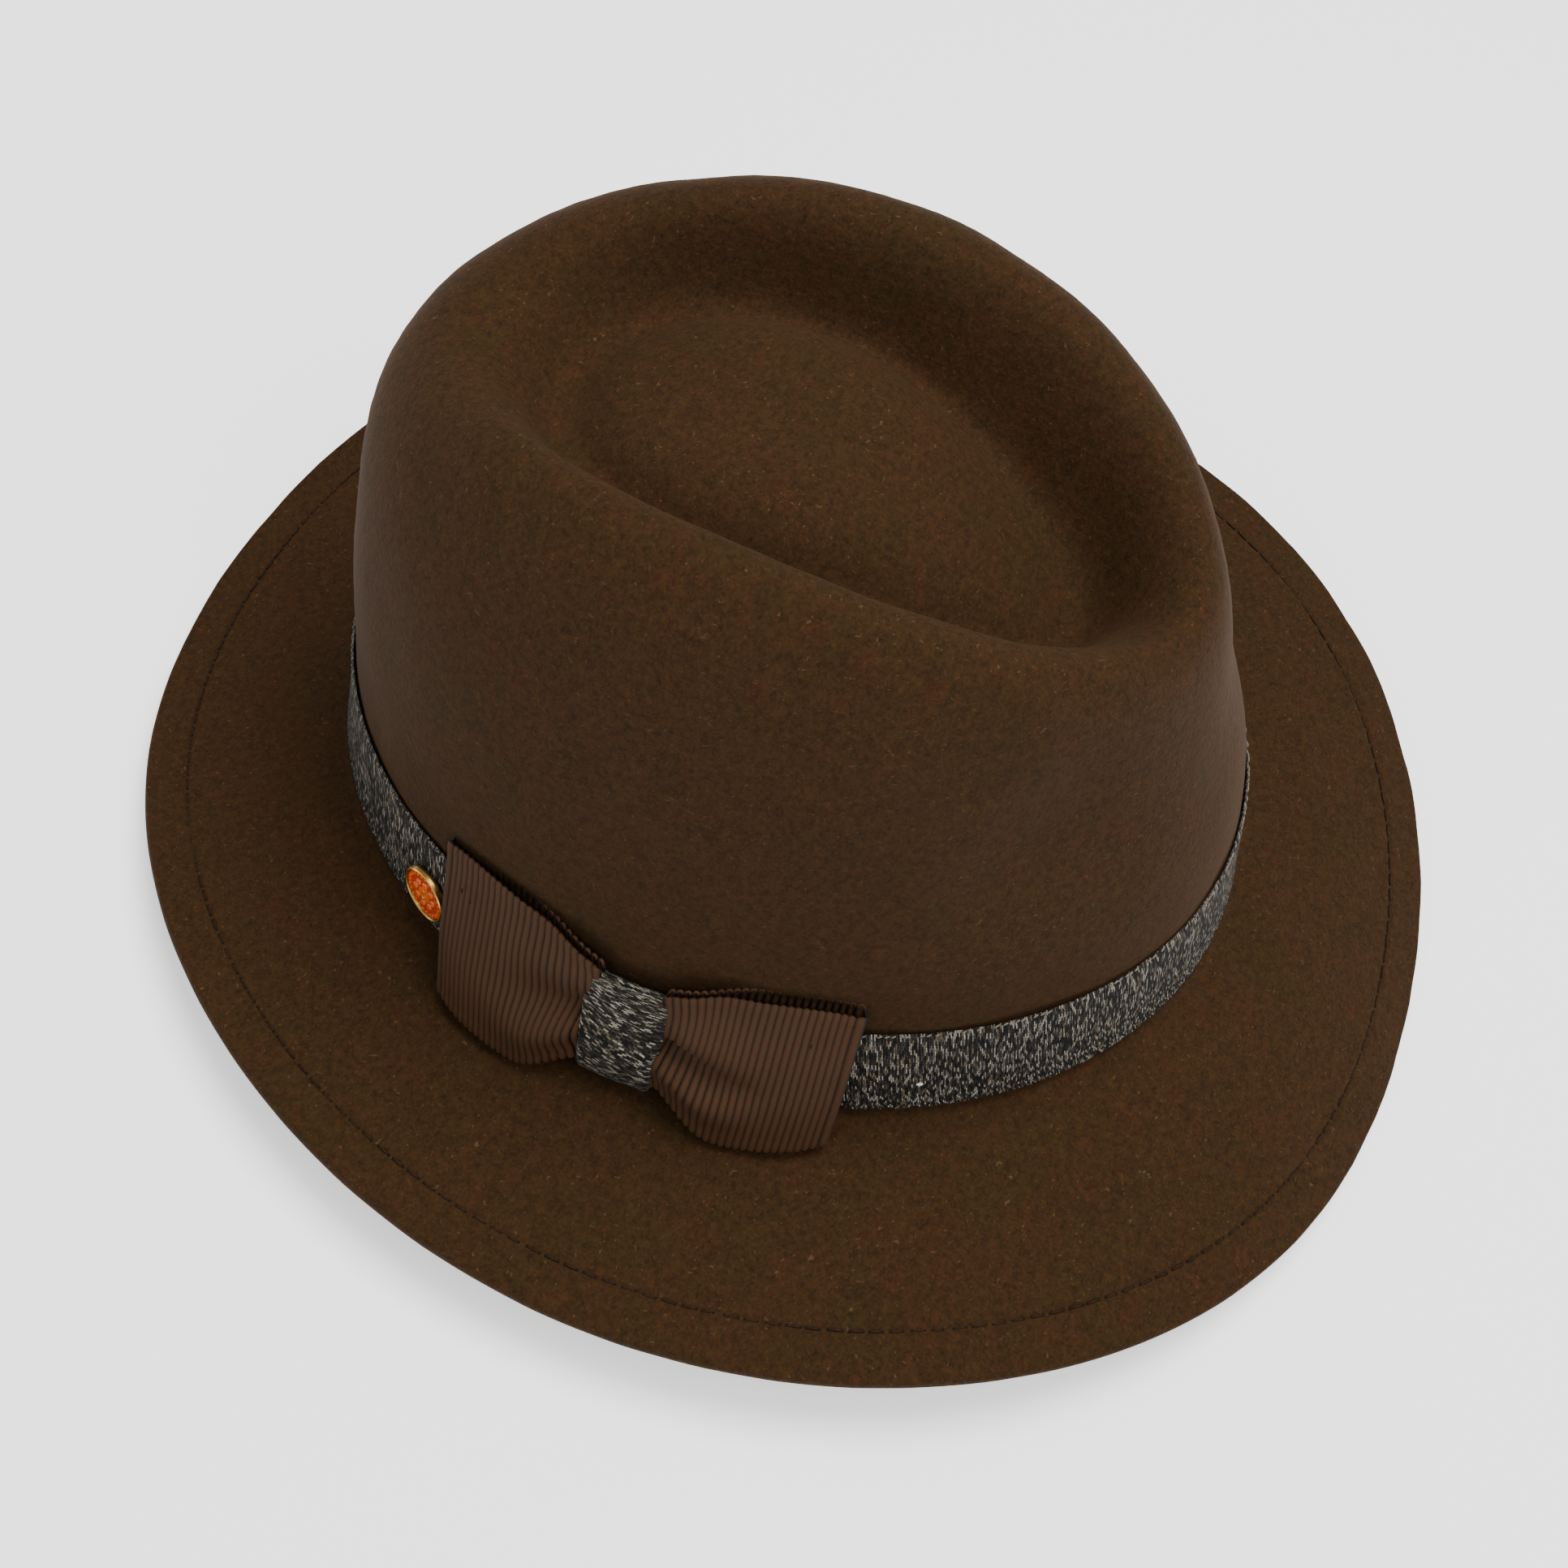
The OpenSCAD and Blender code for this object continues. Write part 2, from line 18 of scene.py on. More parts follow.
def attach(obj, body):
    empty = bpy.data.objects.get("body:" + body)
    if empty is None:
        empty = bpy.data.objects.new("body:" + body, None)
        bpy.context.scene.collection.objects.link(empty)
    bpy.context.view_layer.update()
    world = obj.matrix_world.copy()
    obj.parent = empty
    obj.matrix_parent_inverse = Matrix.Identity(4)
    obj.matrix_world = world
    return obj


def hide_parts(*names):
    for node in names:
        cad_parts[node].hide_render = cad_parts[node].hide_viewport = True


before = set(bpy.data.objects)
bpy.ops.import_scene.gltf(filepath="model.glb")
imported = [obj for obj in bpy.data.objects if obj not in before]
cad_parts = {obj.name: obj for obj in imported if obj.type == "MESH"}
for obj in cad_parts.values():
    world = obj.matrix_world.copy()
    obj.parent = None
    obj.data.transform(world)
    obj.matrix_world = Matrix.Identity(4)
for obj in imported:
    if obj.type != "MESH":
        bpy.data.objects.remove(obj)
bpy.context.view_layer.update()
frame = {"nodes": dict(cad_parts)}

LOG = logging.getLogger("hat")
MM = 0.001
Array = np.ndarray
Triple = tuple[float, float, float]
SurfaceRule = Callable[[Array, Array], Array]


# ---------------------------------------------------------------- shape of the hat


@dataclass(frozen=True)
class CrownRing:
    """One ring that steers the crown: insets from the oval, taper, squareness, heights."""

    side: float
    front: float
    back: float
    taper: float
    square: float
    heights: Triple


@dataclass(frozen=True)
class HatForm:
    """The blocked shape of the felt, in millimetres, before it is seated on its brim."""

    half_width: float = 86.0
    half_length: float = 100.0
    break_heights: Triple = (-0.1, 0.9, -1.7)
    felt: float = 2.2
    welt: float = 3.2
    brim_widths: Triple = (55.0, 51.9, 43.6)
    brim_slopes: Triple = (-25.8, -4.7, -10.9)
    brim_wave: float = 7.5
    brim_curls: Triple = (-19.7, 14.6, 26.2)
    brim_steps: tuple[float, ...] = (1, 0.85, 0.7, 0.55, 0.4, 0.25, 0.1, 0.03)
    lean: float = 0.135
    pinch_angle: float = -128.0
    pinch_spread: float = 20.0
    pinch_height: float = 66.0
    pinch_tall: float = 20.0
    pinch_depth: float = 7.0
    rings: tuple[CrownRing, ...] = (
        CrownRing(0.2, 0.3, 0.3, 0.00, 0.00, (3, 3, 3)),
        CrownRing(1.6, 1.4, 1.2, 0.00, 0.00, (13, 13, 13)),
        CrownRing(3.6, 3.6, 2.8, 0.00, 0.00, (27, 28, 27)),
        CrownRing(6.0, 7.0, 4.2, 0.00, 0.01, (42, 50, 46)),
        CrownRing(10.0, 12.5, 5.8, 0.00, 0.02, (58, 71, 67)),
        CrownRing(17.2, 17.4, 8.0, 0.00, 0.01, (73, 91.5, 88.5)),
        CrownRing(29.4, 22.0, 14.0, -0.016, 0.00, (89, 113, 100)),
        CrownRing(42.4, 29.5, 25.3, -0.014, 0.00, (95, 119.7, 105.3)),
        CrownRing(50.0, 38.5, 36.0, 0.10, 0.03, (85, 107.5, 101)),
        CrownRing(54.5, 45.0, 42.5, 0.18, 0.02, (73, 95.5, 93)),
        CrownRing(58.0, 50.0, 48.5, 0.22, 0.00, (72.5, 94.5, 92.5)),
        CrownRing(62.5, 57.0, 55.0, 0.20, 0.00, (80, 100.5, 98.5)),
        CrownRing(74.0, 80.0, 78.0, 0.00, 0.00, (97, 104, 104)),
        CrownRing(86.0, 100.0, 100.0, 0.00, 0.00, (103, 103, 103)),
    )

    @property
    def last(self) -> float:
        """Station of the middle of the crown; station 0 is the edge of the brim."""
        return len(self.brim_steps) + len(self.rings) - 1.0

    @staticmethod
    def around(angle: Array, values: Triple) -> Array:
        """Blend a front, side and back value around the hat.

        Args:
            angle: Angles in radians, from the wearer's left.
            values: The values at the front, the sides and the back.

        Returns:
            The blended value at each angle.
        """
        front, side, back = values
        mean = (front + back) / 4 + side / 2
        swing = (front + back) / 4 - side / 2
        return mean + (back - front) / 2 * np.sin(angle) - swing * np.cos(2 * angle)

    def outward(self, angle: Array) -> Array:
        """Outward normals of the head oval.

        Args:
            angle: Angles in radians.

        Returns:
            Unit vectors, one row per angle.
        """
        n = np.stack(
            [np.cos(angle) / self.half_width, np.sin(angle) / self.half_length, 0 * angle], -1
        )
        return n / np.linalg.norm(n, axis=-1, keepdims=True)

    def oval(self, angle: Array, height: Array | float, inset: Array | float) -> Array:
        """Points of a level oval inside the leaning wall.

        Args:
            angle: Angles in radians.
            height: Height above the break.
            inset: Distance inside the oval at the break.

        Returns:
            Points in millimetres, one row per angle.
        """
        h = np.asarray(height) + 0 * angle
        shrink = np.asarray(inset) + self.lean * h
        return np.stack(
            [
                (self.half_width - shrink) * np.cos(angle),
                (self.half_length - shrink) * np.sin(angle),
                h + self.around(angle, self.break_heights),
            ],
            -1,
        )

    def _brim_control(self, angle: Array, fraction: float) -> Array:
        """Point on the brim at a fraction of its width; see control points.

        Args:
            angle: Angle round the hat, in radians.
            fraction: Place across the brim, 0 at the edge.

        Returns:
            Points, one row for each place.
        """
        steps = 12
        travel = self.around(angle, self.brim_widths) * fraction / steps
        run, rise = 0 * angle, 0 * angle
        wave = self.brim_wave * np.sin(2 * angle) ** 2
        for k in range(steps):
            u = (k + 0.5) / steps * fraction
            slope = np.radians(
                self.around(angle, self.brim_slopes)
                + wave
                + self.around(angle, self.brim_curls) * (u - 0.5)
            )
            run = run + np.cos(slope) * travel
            rise = rise + np.sin(slope) * travel
        base = self.oval(angle, 0.0, 0.0)
        point = base + self.outward(angle) * run[..., None]
        point[..., 2] += rise
        return point

    def _ring_control(self, angle: Array, ring: CrownRing) -> Array:
        """Point on one crown ring; see control points.

        Args:
            angle: Angle round the hat, in radians.
            ring: The crown ring.

        Returns:
            Points, one row for each place.
        """
        x = self.half_width - ring.side
        front, back = self.half_length - ring.front, self.half_length - ring.back
        square = 1 + ring.square * np.sin(2 * angle) ** 2
        fade = max(0.0, 1 - ring.heights[1] / 60)
        return np.stack(
            [
                x * np.cos(angle) * (1 + ring.taper * np.sin(angle)) * square,
                (back - front) / 2 + (back + front) / 2 * np.sin(angle) * square,
                self.around(angle, self.break_heights) * fade + self.around(angle, ring.heights),
            ],
            -1,
        )

    def _pinch(self, angle: Array, station: Array, height: Array) -> Array:
        """Inward push of the two front pinches, in millimetres.

        Args:
            angle: Angle round the hat, in radians.
            station: Place along the profile, 0 at the brim edge.
            height: Height above the break, in millimetres.

        Returns:
            The push for each place.
        """
        push = 0 * height
        for at in (self.pinch_angle, -180 - self.pinch_angle):
            turn = (np.degrees(angle) - at + 180) % 360 - 180
            push = push + np.exp(
                -((turn / self.pinch_spread) ** 2)
                - ((height - self.pinch_height) / self.pinch_tall) ** 2
            )
        return self.pinch_depth * push * (station > 7) * np.clip((16.5 - station) / 3, 0, 1)

    def top(self, angle: Array, station: Array) -> Array:
        """Points on top of the felt, from a cubic B-spline along each profile.

        Args:
            angle: Angles in radians.
            station: Stations along the profile, 0 at the brim edge.

        Returns:
            Points in millimetres with the broadcast shape of both inputs.
        """
        angle, station = np.broadcast_arrays(
            np.asarray(angle, float), np.asarray(station, float)
        )
        shape = angle.shape
        a, v = angle.ravel(), np.clip(station.ravel(), 0, self.last)
        rows = [self._brim_control(a, u) for u in self.brim_steps]
        rows += [self._ring_control(a, r) for r in self.rings]
        rows = [2 * rows[0] - rows[1], *rows, 2 * rows[-1] - rows[-2]]
        control = np.stack(rows)
        i = np.minimum(v.astype(int), len(rows) - 4)
        f = (v - i)[:, None]
        weights = (
            (1 - f) ** 3,
            3 * f**3 - 6 * f**2 + 4,
            -3 * f**3 + 3 * f**2 + 3 * f + 1,
            f**3,
        )
        n = np.arange(len(a))
        point = sum(w * control[i + k, n] for k, w in enumerate(weights)) / 6
        push = self._pinch(a, v, point[:, 2])
        point[:, 0] -= np.cos(a) * push
        point[:, 1] -= np.sin(a) * push
        return point.reshape(*shape, 3)

    def normal(self, angle: Array, station: Array) -> Array:
        """Outward normals of the top of the felt.

        Args:
            angle: Angles in radians.
            station: Stations along the profile.

        Returns:
            Unit vectors with the broadcast shape of both inputs.
        """
        v = np.minimum(station, self.last - 0.1)
        across = self.top(np.asarray(angle) + 0.008, v) - self.top(np.asarray(angle) - 0.008, v)
        along = self.top(angle, v - 0.05) - self.top(angle, v + 0.05)
        n = -np.cross(across, along)
        return n / np.linalg.norm(n, axis=-1, keepdims=True)

    def off(self, angle: Array, station: Array, distance: Array | float) -> Array:
        """Points a distance off the top of the felt; negative is inside it.

        Args:
            angle: Angles in radians.
            station: Stations along the profile.
            distance: Distance along the normal, in millimetres.

        Returns:
            Points in millimetres.
        """
        d = np.asarray(distance, float)
        return self.top(angle, station) + self.normal(angle, station) * d[..., None]


@dataclass(frozen=True)
class Seat:
    """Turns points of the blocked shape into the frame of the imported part, in metres."""

    tilt_deg: float = -3.0
    back_shift: float = 4.29551
    lift: float = 20.532

    @property
    def turn(self) -> Array:
        """Rotation of the hat as it stands on the edge of its brim.

        Returns:
            A 3 by 3 matrix.
        """
        t = math.radians(self.tilt_deg)
        return np.array(
            [[1, 0, 0], [0, math.cos(t), -math.sin(t)], [0, math.sin(t), math.cos(t)]]
        )

    @property
    def shift(self) -> Array:
        """Shift that puts the box's foot in the middle of the frame."""
        return np.array([0.0, self.back_shift, self.lift])

    def place(self, points: Array) -> Array:
        """Seat points given in millimetres.

        Args:
            points: Points of the blocked shape, in millimetres.

        Returns:
            Points in the part's frame, in metres.
        """
        return (points @ self.turn.T + self.shift) * MM

    def direct(self, vectors: Array) -> Array:
        """Turn directions without moving them."""
        return vectors @ self.turn.T


def wobble(points: Array, size: float, seed: int, waves: int = 14) -> Array:
    """Smooth seeded unevenness, as in cloth that was worked by hand.

    Args:
        points: Points, one row each.
        size: Length of the average wave, in the units of the points.
        seed: Seed of the random waves.
        waves: How many waves are summed.

    Returns:
        Values of about -1 to 1, one for each point.
    """
    rng = np.random.default_rng(seed)
    total = np.zeros(points.shape[:-1])
    for _ in range(waves):
        d = rng.normal(size=3)
        d *= 2 * math.pi / size * rng.uniform(0.6, 1.5) / np.linalg.norm(d)
        total += np.sin(points @ d + rng.uniform(0, 2 * math.pi))
    return total / math.sqrt(waves / 2) / 1.6


# ---------------------------------------------------------------- mesh work


class Workshop:
    """Mesh operations that every sub-assembly shares."""

    @staticmethod
    def clear_selection() -> None:
        """Deselect every object."""
        if bpy.context.object and bpy.context.object.mode != "OBJECT":
            bpy.ops.object.mode_set(mode="OBJECT")
        bpy.ops.object.select_all(action="DESELECT")

    @classmethod
    def pick(cls, piece: bpy.types.Object) -> None:
        """Make one piece the only selected and active one."""
        cls.clear_selection()
        piece.select_set(True)
        bpy.context.view_layer.objects.active = piece

    @classmethod
    def sheet_grid(
        cls, name: str, across: int, along: int, rule: SurfaceRule, merge: bool = True
    ) -> bpy.types.Object:
        """Add a grid and lay it on a surface; its UV map runs 0 to 1 each way.

        Args:
            name: Name of the new piece.
            across: Number of faces along u.
            along: Number of faces along v.
            rule: Gives points in metres for arrays of u and v from 0 to 1.
            merge: Whether edges and poles that meet are welded.

        Returns:
            The new piece.
        """
        cls.clear_selection()
        bpy.ops.mesh.primitive_grid_add(
            x_subdivisions=across, y_subdivisions=along, size=2, calc_uvs=True
        )
        piece = bpy.context.object
        piece.name = piece.data.name = name
        mesh = piece.data
        flat = np.empty(len(mesh.vertices) * 3)
        mesh.vertices.foreach_get("co", flat)
        uv = (flat.reshape(-1, 3)[:, :2] + 1) / 2
        mesh.vertices.foreach_set("co", rule(uv[:, 0], uv[:, 1]).ravel())
        mesh.update()
        if merge:
            bpy.ops.object.mode_set(mode="EDIT")
            bpy.ops.mesh.select_all(action="SELECT")
            bpy.ops.mesh.remove_doubles(threshold=2e-6)
            bpy.ops.object.mode_set(mode="OBJECT")
        return piece

    @classmethod
    def face_outwards(cls, piece: bpy.types.Object) -> None:
        """Recalculate the normals of a closed piece so that they point outwards.

        Args:
            piece: The closed mesh object.
        """
        cls.pick(piece)
        bpy.ops.object.mode_set(mode="EDIT")
        bpy.ops.mesh.select_all(action="SELECT")
        bpy.ops.mesh.normals_make_consistent(inside=False)
        bpy.ops.object.mode_set(mode="OBJECT")

    @classmethod
    def thicken(cls, piece: bpy.types.Object, thickness: float, offset: float = -1.0) -> None:
        """Give a sheet its thickness with an applied Solidify modifier.

        Args:
            piece: The sheet.
            thickness: Thickness in metres.
            offset: -1 grows it inwards, 0 both ways, 1 outwards.
        """
        cls.pick(piece)
        wall = piece.modifiers.new("wall", "SOLIDIFY")
        wall.thickness = thickness
        wall.offset = offset
        wall.use_even_offset = False
        bpy.ops.object.modifier_apply(modifier=wall.name)

    @classmethod
    def smooth(cls, piece: bpy.types.Object, angle_deg: float = 60.0) -> None:
        """Shade a piece smooth up to an angle between faces."""
        cls.pick(piece)
        bpy.ops.object.shade_smooth_by_angle(angle=math.radians(angle_deg))

    @classmethod
    def thread_bead(cls) -> bpy.types.Object:
        """Model one short stitch: a slim bead along X, one unit long and thick.

        Returns:
            The new piece.
        """
        cls.clear_selection()
        bpy.ops.mesh.primitive_uv_sphere_add(segments=8, ring_count=6, radius=0.5)
        bead = bpy.context.object
        bpy.ops.object.mode_set(mode="EDIT")
        bpy.ops.mesh.select_all(action="SELECT")
        bpy.ops.transform.rotate(
            value=math.pi / 2, orient_axis="Y", center_override=(0, 0, 0)
        )
        bpy.ops.object.mode_set(mode="OBJECT")
        return bead

    @classmethod
    def repeat(
        cls, template: bpy.types.Object, places: Sequence[Matrix], name: str
    ) -> bpy.types.Object:
        """Copy a template to many places, join the copies and remove the template.

        Args:
            template: The piece that is modelled once.
            places: One matrix for each copy.
            name: Name of the new piece.

        Returns:
            The piece that holds all copies.
        """
        copies = []
        for place in places:
            copy = template.copy()
            copy.data = template.data.copy()
            copy.matrix_world = place
            bpy.context.collection.objects.link(copy)
            copies.append(copy)
        bpy.data.objects.remove(template, do_unlink=True)
        cls.clear_selection()
        for copy in copies:
            copy.select_set(True)
        piece = copies[0]
        piece.name = name
        bpy.context.view_layer.objects.active = piece
        bpy.ops.object.join()
        bpy.ops.object.transform_apply(location=True, rotation=True, scale=True)
        cls.smooth(piece)
        return piece


def frame_matrix(origin: Array, x: Array, z: Array, scale: Triple) -> Matrix:
    """Matrix that puts a template at a point with its own axes and size.

    Args:
        origin: Place of the template's origin, in metres.
        x: Direction of its X axis.
        z: Rough direction of its Z axis.
        scale: Size along each axis, in metres.

    Returns:
        The matrix.
    """
    ax = Vector(x).normalized()
    ay = Vector(z).cross(ax).normalized()
    az = ax.cross(ay)
    m = Matrix((ax * scale[0], ay * scale[1], az * scale[2])).transposed().to_4x4()
    m.translation = Vector(origin)
    return m


def dress(piece: bpy.types.Object, material: bpy.types.Material, body: str) -> None:
    """Give a new piece its material and its body.

    Args:
        piece: The new piece.
        material: Its material.
        body: The CAD body that it rides on.
    """
    piece.data.materials.clear()
    piece.data.materials.append(material)
    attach(piece, body)


# ---------------------------------------------------------------- node helpers


class Nodes:
    """Small builder for one node tree."""

    def __init__(self, tree: bpy.types.NodeTree) -> None:
        """Keep the tree that nodes are added to."""
        self.tree = tree

    def add(self, kind: str, **values: object) -> bpy.types.Node:
        """Add a node, and set its properties and inputs.

        Args:
            kind: Node type without the ShaderNode prefix, or in full.
            values: Properties by name, or inputs by name with spaces as underscores.

        Returns:
            The new node.
        """
        full = kind if kind.startswith("Node") else "ShaderNode" + kind
        node = self.tree.nodes.new(full)
        for key, value in values.items():
            if hasattr(node, key):
                setattr(node, key, value)
            else:
                self.put(node, key.replace("_", " "), value)
        return node

    def put(self, node: bpy.types.Node, name: str | int, value: object) -> None:
        """Set an input to a value, or link an output to it.

        Args:
            node: The node.
            name: Name or number of the input.
            value: The value or the output socket.
        """
        socket = node.inputs[name]
        if isinstance(value, bpy.types.NodeSocket):
            self.tree.links.new(value, socket)
        elif isinstance(value, bpy.types.Node):
            self.tree.links.new(value.outputs[0], socket)
        else:
            socket.default_value = value

    def math(self, operation: str, a: object, b: object = 0.0, clamp: bool = False) -> object:
        """Add a Math node.

        Args:
            operation: Name of the operation.
            a: First value or socket.
            b: Second value or socket.
            clamp: Whether the result is kept from 0 to 1.

        Returns:
            The output socket.
        """
        node = self.add("Math", operation=operation, use_clamp=clamp)
        self.put(node, 0, a)
        self.put(node, 1, b)
        return node.outputs[0]

    def noise(
        self, vector: object, scale: float, detail: float = 2.0, rough: float = 0.5
    ) -> object:
        """Add a noise texture and return its value output."""
        node = self.add("TexNoise", Vector=vector, Scale=scale, Detail=detail, Roughness=rough)
        return node.outputs["Fac"]

    def ramp(self, value: object, low: float, high: float) -> object:
        """Map a range of a value to 0..1, clamped, with a smooth step.

        Args:
            value: The value or the output socket.
            low: Value that becomes 0.
            high: Value that becomes 1.

        Returns:
            The output socket.
        """
        node = self.add("MapRange", interpolation_type="SMOOTHSTEP")
        self.put(node, "Value", value)
        self.put(node, "From Min", low)
        self.put(node, "From Max", high)
        return node.outputs[0]

    def mix(self, factor: object, a: object, b: object) -> object:
        """Mix two colours and return the result.

        Args:
            factor: Share of the second colour.
            a: First colour.
            b: Second colour.

        Returns:
            The output socket.
        """
        node = self.add("Mix", data_type="RGBA")
        self.put(node, 0, factor)
        self.put(node, 6, a)
        self.put(node, 7, b)
        return node.outputs[2]

    def stretch(self, vector: object, scale: Triple, turn: float = 0.0) -> object:
        """Scale and turn a pattern's coordinates.

        Args:
            vector: The coordinates.
            scale: Stretch along each axis.
            turn: Turn about Z, in radians.

        Returns:
            The output socket.
        """
        node = self.add("Mapping", Vector=vector)
        node.inputs["Scale"].default_value = scale
        node.inputs["Rotation"].default_value = (0, 0, turn)
        return node.outputs[0]


class GroupKind(Enum):
    """The shared effects that are built once as node groups."""

    HEATHER = "heather"
    TWILL = "twill"


class GroupShelf:
    """Builds each shared node group once and hands it out."""

    def __init__(self) -> None:
        """Start with no group built."""
        self._made: dict[GroupKind, bpy.types.NodeTree] = {}

    def get(self, kind: GroupKind) -> bpy.types.NodeTree:
        """Return the group, building it on its first use.

        Args:
            kind: Which group.

        Returns:
            The node group.
        """
        if kind not in self._made:
            self._made[kind] = {
                GroupKind.HEATHER: self._heather,
                GroupKind.TWILL: self._twill,
            }[kind]()
        return self._made[kind]

    @staticmethod
    def _start(
        kind: GroupKind, inputs: Sequence[tuple[str, str]], outputs: Sequence[tuple[str, str]]
    ) -> tuple[Nodes, bpy.types.Node, bpy.types.Node]:
        """Make an empty group with its sockets.

        Args:
            kind: Which group it is.
            inputs: Name and socket type of each input.
            outputs: Name and socket type of each output.

        Returns:
            The builder, the input node and the output node.
        """
        tree = bpy.data.node_groups.new(kind.value, "ShaderNodeTree")
        for side, sockets in (("INPUT", inputs), ("OUTPUT", outputs)):
            for name, form in sockets:
                tree.interface.new_socket(name=name, in_out=side, socket_type="NodeSocket" + form)
        n = Nodes(tree)
        return n, n.add("NodeGroupInput"), n.add("NodeGroupOutput")

    def _heather(self) -> bpy.types.NodeTree:
        """Wool of mixed colours: soft clouds, small flecks and fine fibres.

        Returns:
            The node group.
        """
        n, i, o = self._start(
            GroupKind.HEATHER,
            [("Vector", "Vector"), ("Base", "Color"), ("Olive", "Color"), ("Red", "Color"),
             ("Pale", "Color"), ("Amount", "Float")],
            [("Color", "Color"), ("Height", "Float"), ("Fibre", "Float")],
        )
        v = i.outputs["Vector"]
        warp = n.add("TexNoise", Vector=v, Scale=260.0, Detail=2.0)
        bent = n.add("VectorMath", operation="MULTIPLY_ADD")
        n.put(bent, 0, warp.outputs["Color"])
        bent.inputs[1].default_value = (0.004, 0.004, 0.004)
        n.put(bent, 2, v)
        cloud = n.noise(bent, 62.0, 3.0, 0.55)
        patch = n.noise(bent, 150.0, 2.0, 0.6)
        olive = n.math("MULTIPLY", n.ramp(cloud, 0.44, 0.72), i.outputs["Amount"])
        red = n.math("MULTIPLY", n.ramp(patch, 0.5, 0.78), i.outputs["Amount"])
        colour = n.mix(olive, i.outputs["Base"], i.outputs["Olive"])
        colour = n.mix(red, colour, i.outputs["Red"])
        tuft = n.noise(bent, 520.0, 2.0, 0.65)
        tufts = n.math("MULTIPLY", n.ramp(tuft, 0.53, 0.68), 0.35)
        colour = n.mix(tufts, colour, i.outputs["Olive"])
        speck = n.noise(bent, 700.0, 2.0, 0.7)
        specks = n.math("MULTIPLY", n.ramp(speck, 0.56, 0.7), 0.35)
        colour = n.mix(specks, colour, i.outputs["Red"])
        fine = n.noise(v, 1500.0, 2.0, 0.7)
        grain = n.noise(v, 620.0, 3.0, 0.65)
        dark = n.add("Mix", data_type="RGBA", blend_type="MULTIPLY")
        n.put(dark, 0, 1.0)
        n.put(dark, 6, colour)
        shade = n.add("MapRange")
        both = n.math("ADD", n.math("MULTIPLY", fine, 0.5), n.math("MULTIPLY", grain, 0.5))
        n.put(shade, "Value", both)
        n.put(shade, "From Min", 0.3)
        n.put(shade, "From Max", 0.7)
        n.put(shade, "To Min", 0.45)
        n.put(shade, "To Max", 1.55)
        n.put(dark, 7, shade.outputs[0])
        fleck = n.ramp(n.noise(n.stretch(bent, (1, 1.0, 3.2), 0.4), 900.0, 1.0, 0.5), 0.69, 0.76)
        colour = n.mix(n.math("MULTIPLY", fleck, 0.22), dark.outputs[2], i.outputs["Pale"])
        n.put(o, "Color", colour)
        n.put(o, "Height", n.math("ADD", n.math("MULTIPLY", fine, 0.5), grain))
        n.put(o, "Fibre", fleck)
        return n.tree

    def _twill(self) -> bpy.types.NodeTree:
        """Melange twill: slanted yarns whose colour changes from yarn to yarn, with painted shade
        in the gaps between the floats.

        Returns:
            The node group.
        """
        n, i, o = self._start(
            GroupKind.TWILL,
            [("UV", "Vector"), ("Dark", "Color"), ("Mid", "Color"), ("Light", "Color"),
             ("Warm", "Color"), ("Fleck", "Float"), ("Pitch", "Float"), ("Length", "Float"),
             ("Wave", "Float")],
            [("Color", "Color"), ("Height", "Float")],
        )
        uv = i.outputs["UV"]
        # uv is in millimetres: x along the yarn's slant, y across the floats
        split = n.add("SeparateXYZ", Vector=uv)
        x, y = split.outputs[0], split.outputs[1]
        sway = n.math("MULTIPLY", n.math("SINE", n.math("MULTIPLY", x, 2.4)), i.outputs["Wave"])
        sway = n.math("ADD", sway, n.math("MULTIPLY", n.noise(uv, 0.5, 2.0), 0.35))
        row = n.math("DIVIDE", n.math("ADD", y, sway), i.outputs["Pitch"])
        row_id = n.math("FLOOR", row)
        along = n.math("DIVIDE", x, i.outputs["Length"])
        along = n.math("ADD", along, n.math("MULTIPLY", row_id, 0.37))
        along = n.math("ADD", along, n.math("MULTIPLY", n.noise(uv, 0.6, 1.0), 0.7))
        cell = n.math("FLOOR", along)
        ident = n.add("CombineXYZ", X=cell, Y=row_id)
        pick = n.add("TexWhiteNoise", noise_dimensions="2D")
        n.put(pick, "Vector", ident)
        value = pick.outputs["Value"]
        fx = n.math("ABSOLUTE", n.math("SUBTRACT", n.math("FRACT", along), 0.5))
        fy = n.math("ABSOLUTE", n.math("SUBTRACT", n.math("FRACT", row), 0.5))
        yarn = n.math(
            "MULTIPLY",
            n.math("SUBTRACT", 1.0, n.ramp(fx, 0.3, 0.52)),
            n.math("SUBTRACT", 1.0, n.ramp(fy, 0.22, 0.5)),
        )
        streak = n.noise(n.stretch(uv, (0.22, 1.6, 1.0)), 1.6, 3.0, 0.6)
        bright = n.math("ADD", value, n.math("MULTIPLY", n.math("SUBTRACT", streak, 0.5), 0.6))
        colour = n.mix(n.ramp(bright, 0.12, 0.62), i.outputs["Dark"], i.outputs["Mid"])
        light = n.math("MULTIPLY", n.ramp(bright, 0.62, 0.98), i.outputs["Fleck"])
        colour = n.mix(light, colour, i.outputs["Light"])
        other = n.add("TexWhiteNoise", noise_dimensions="3D")
        n.put(other, "Vector", n.add("VectorMath", operation="ADD"))
        shift = n.tree.nodes[-1]
        n.put(shift, 0, ident)
        shift.inputs[1].default_value = (17.0, 5.0, 9.0)
        warm = n.math("MULTIPLY", n.ramp(other.outputs["Value"], 0.9, 0.93), i.outputs["Fleck"])
        colour = n.mix(warm, colour, i.outputs["Warm"])
        # Painted shade: the colour is darkened to a fifth in the gaps between the yarn floats and
        # lifted a little on their crowns.
        gap = n.add("Mix", data_type="RGBA", blend_type="MULTIPLY")
        n.put(gap, 0, 1.0)
        n.put(gap, 6, colour)
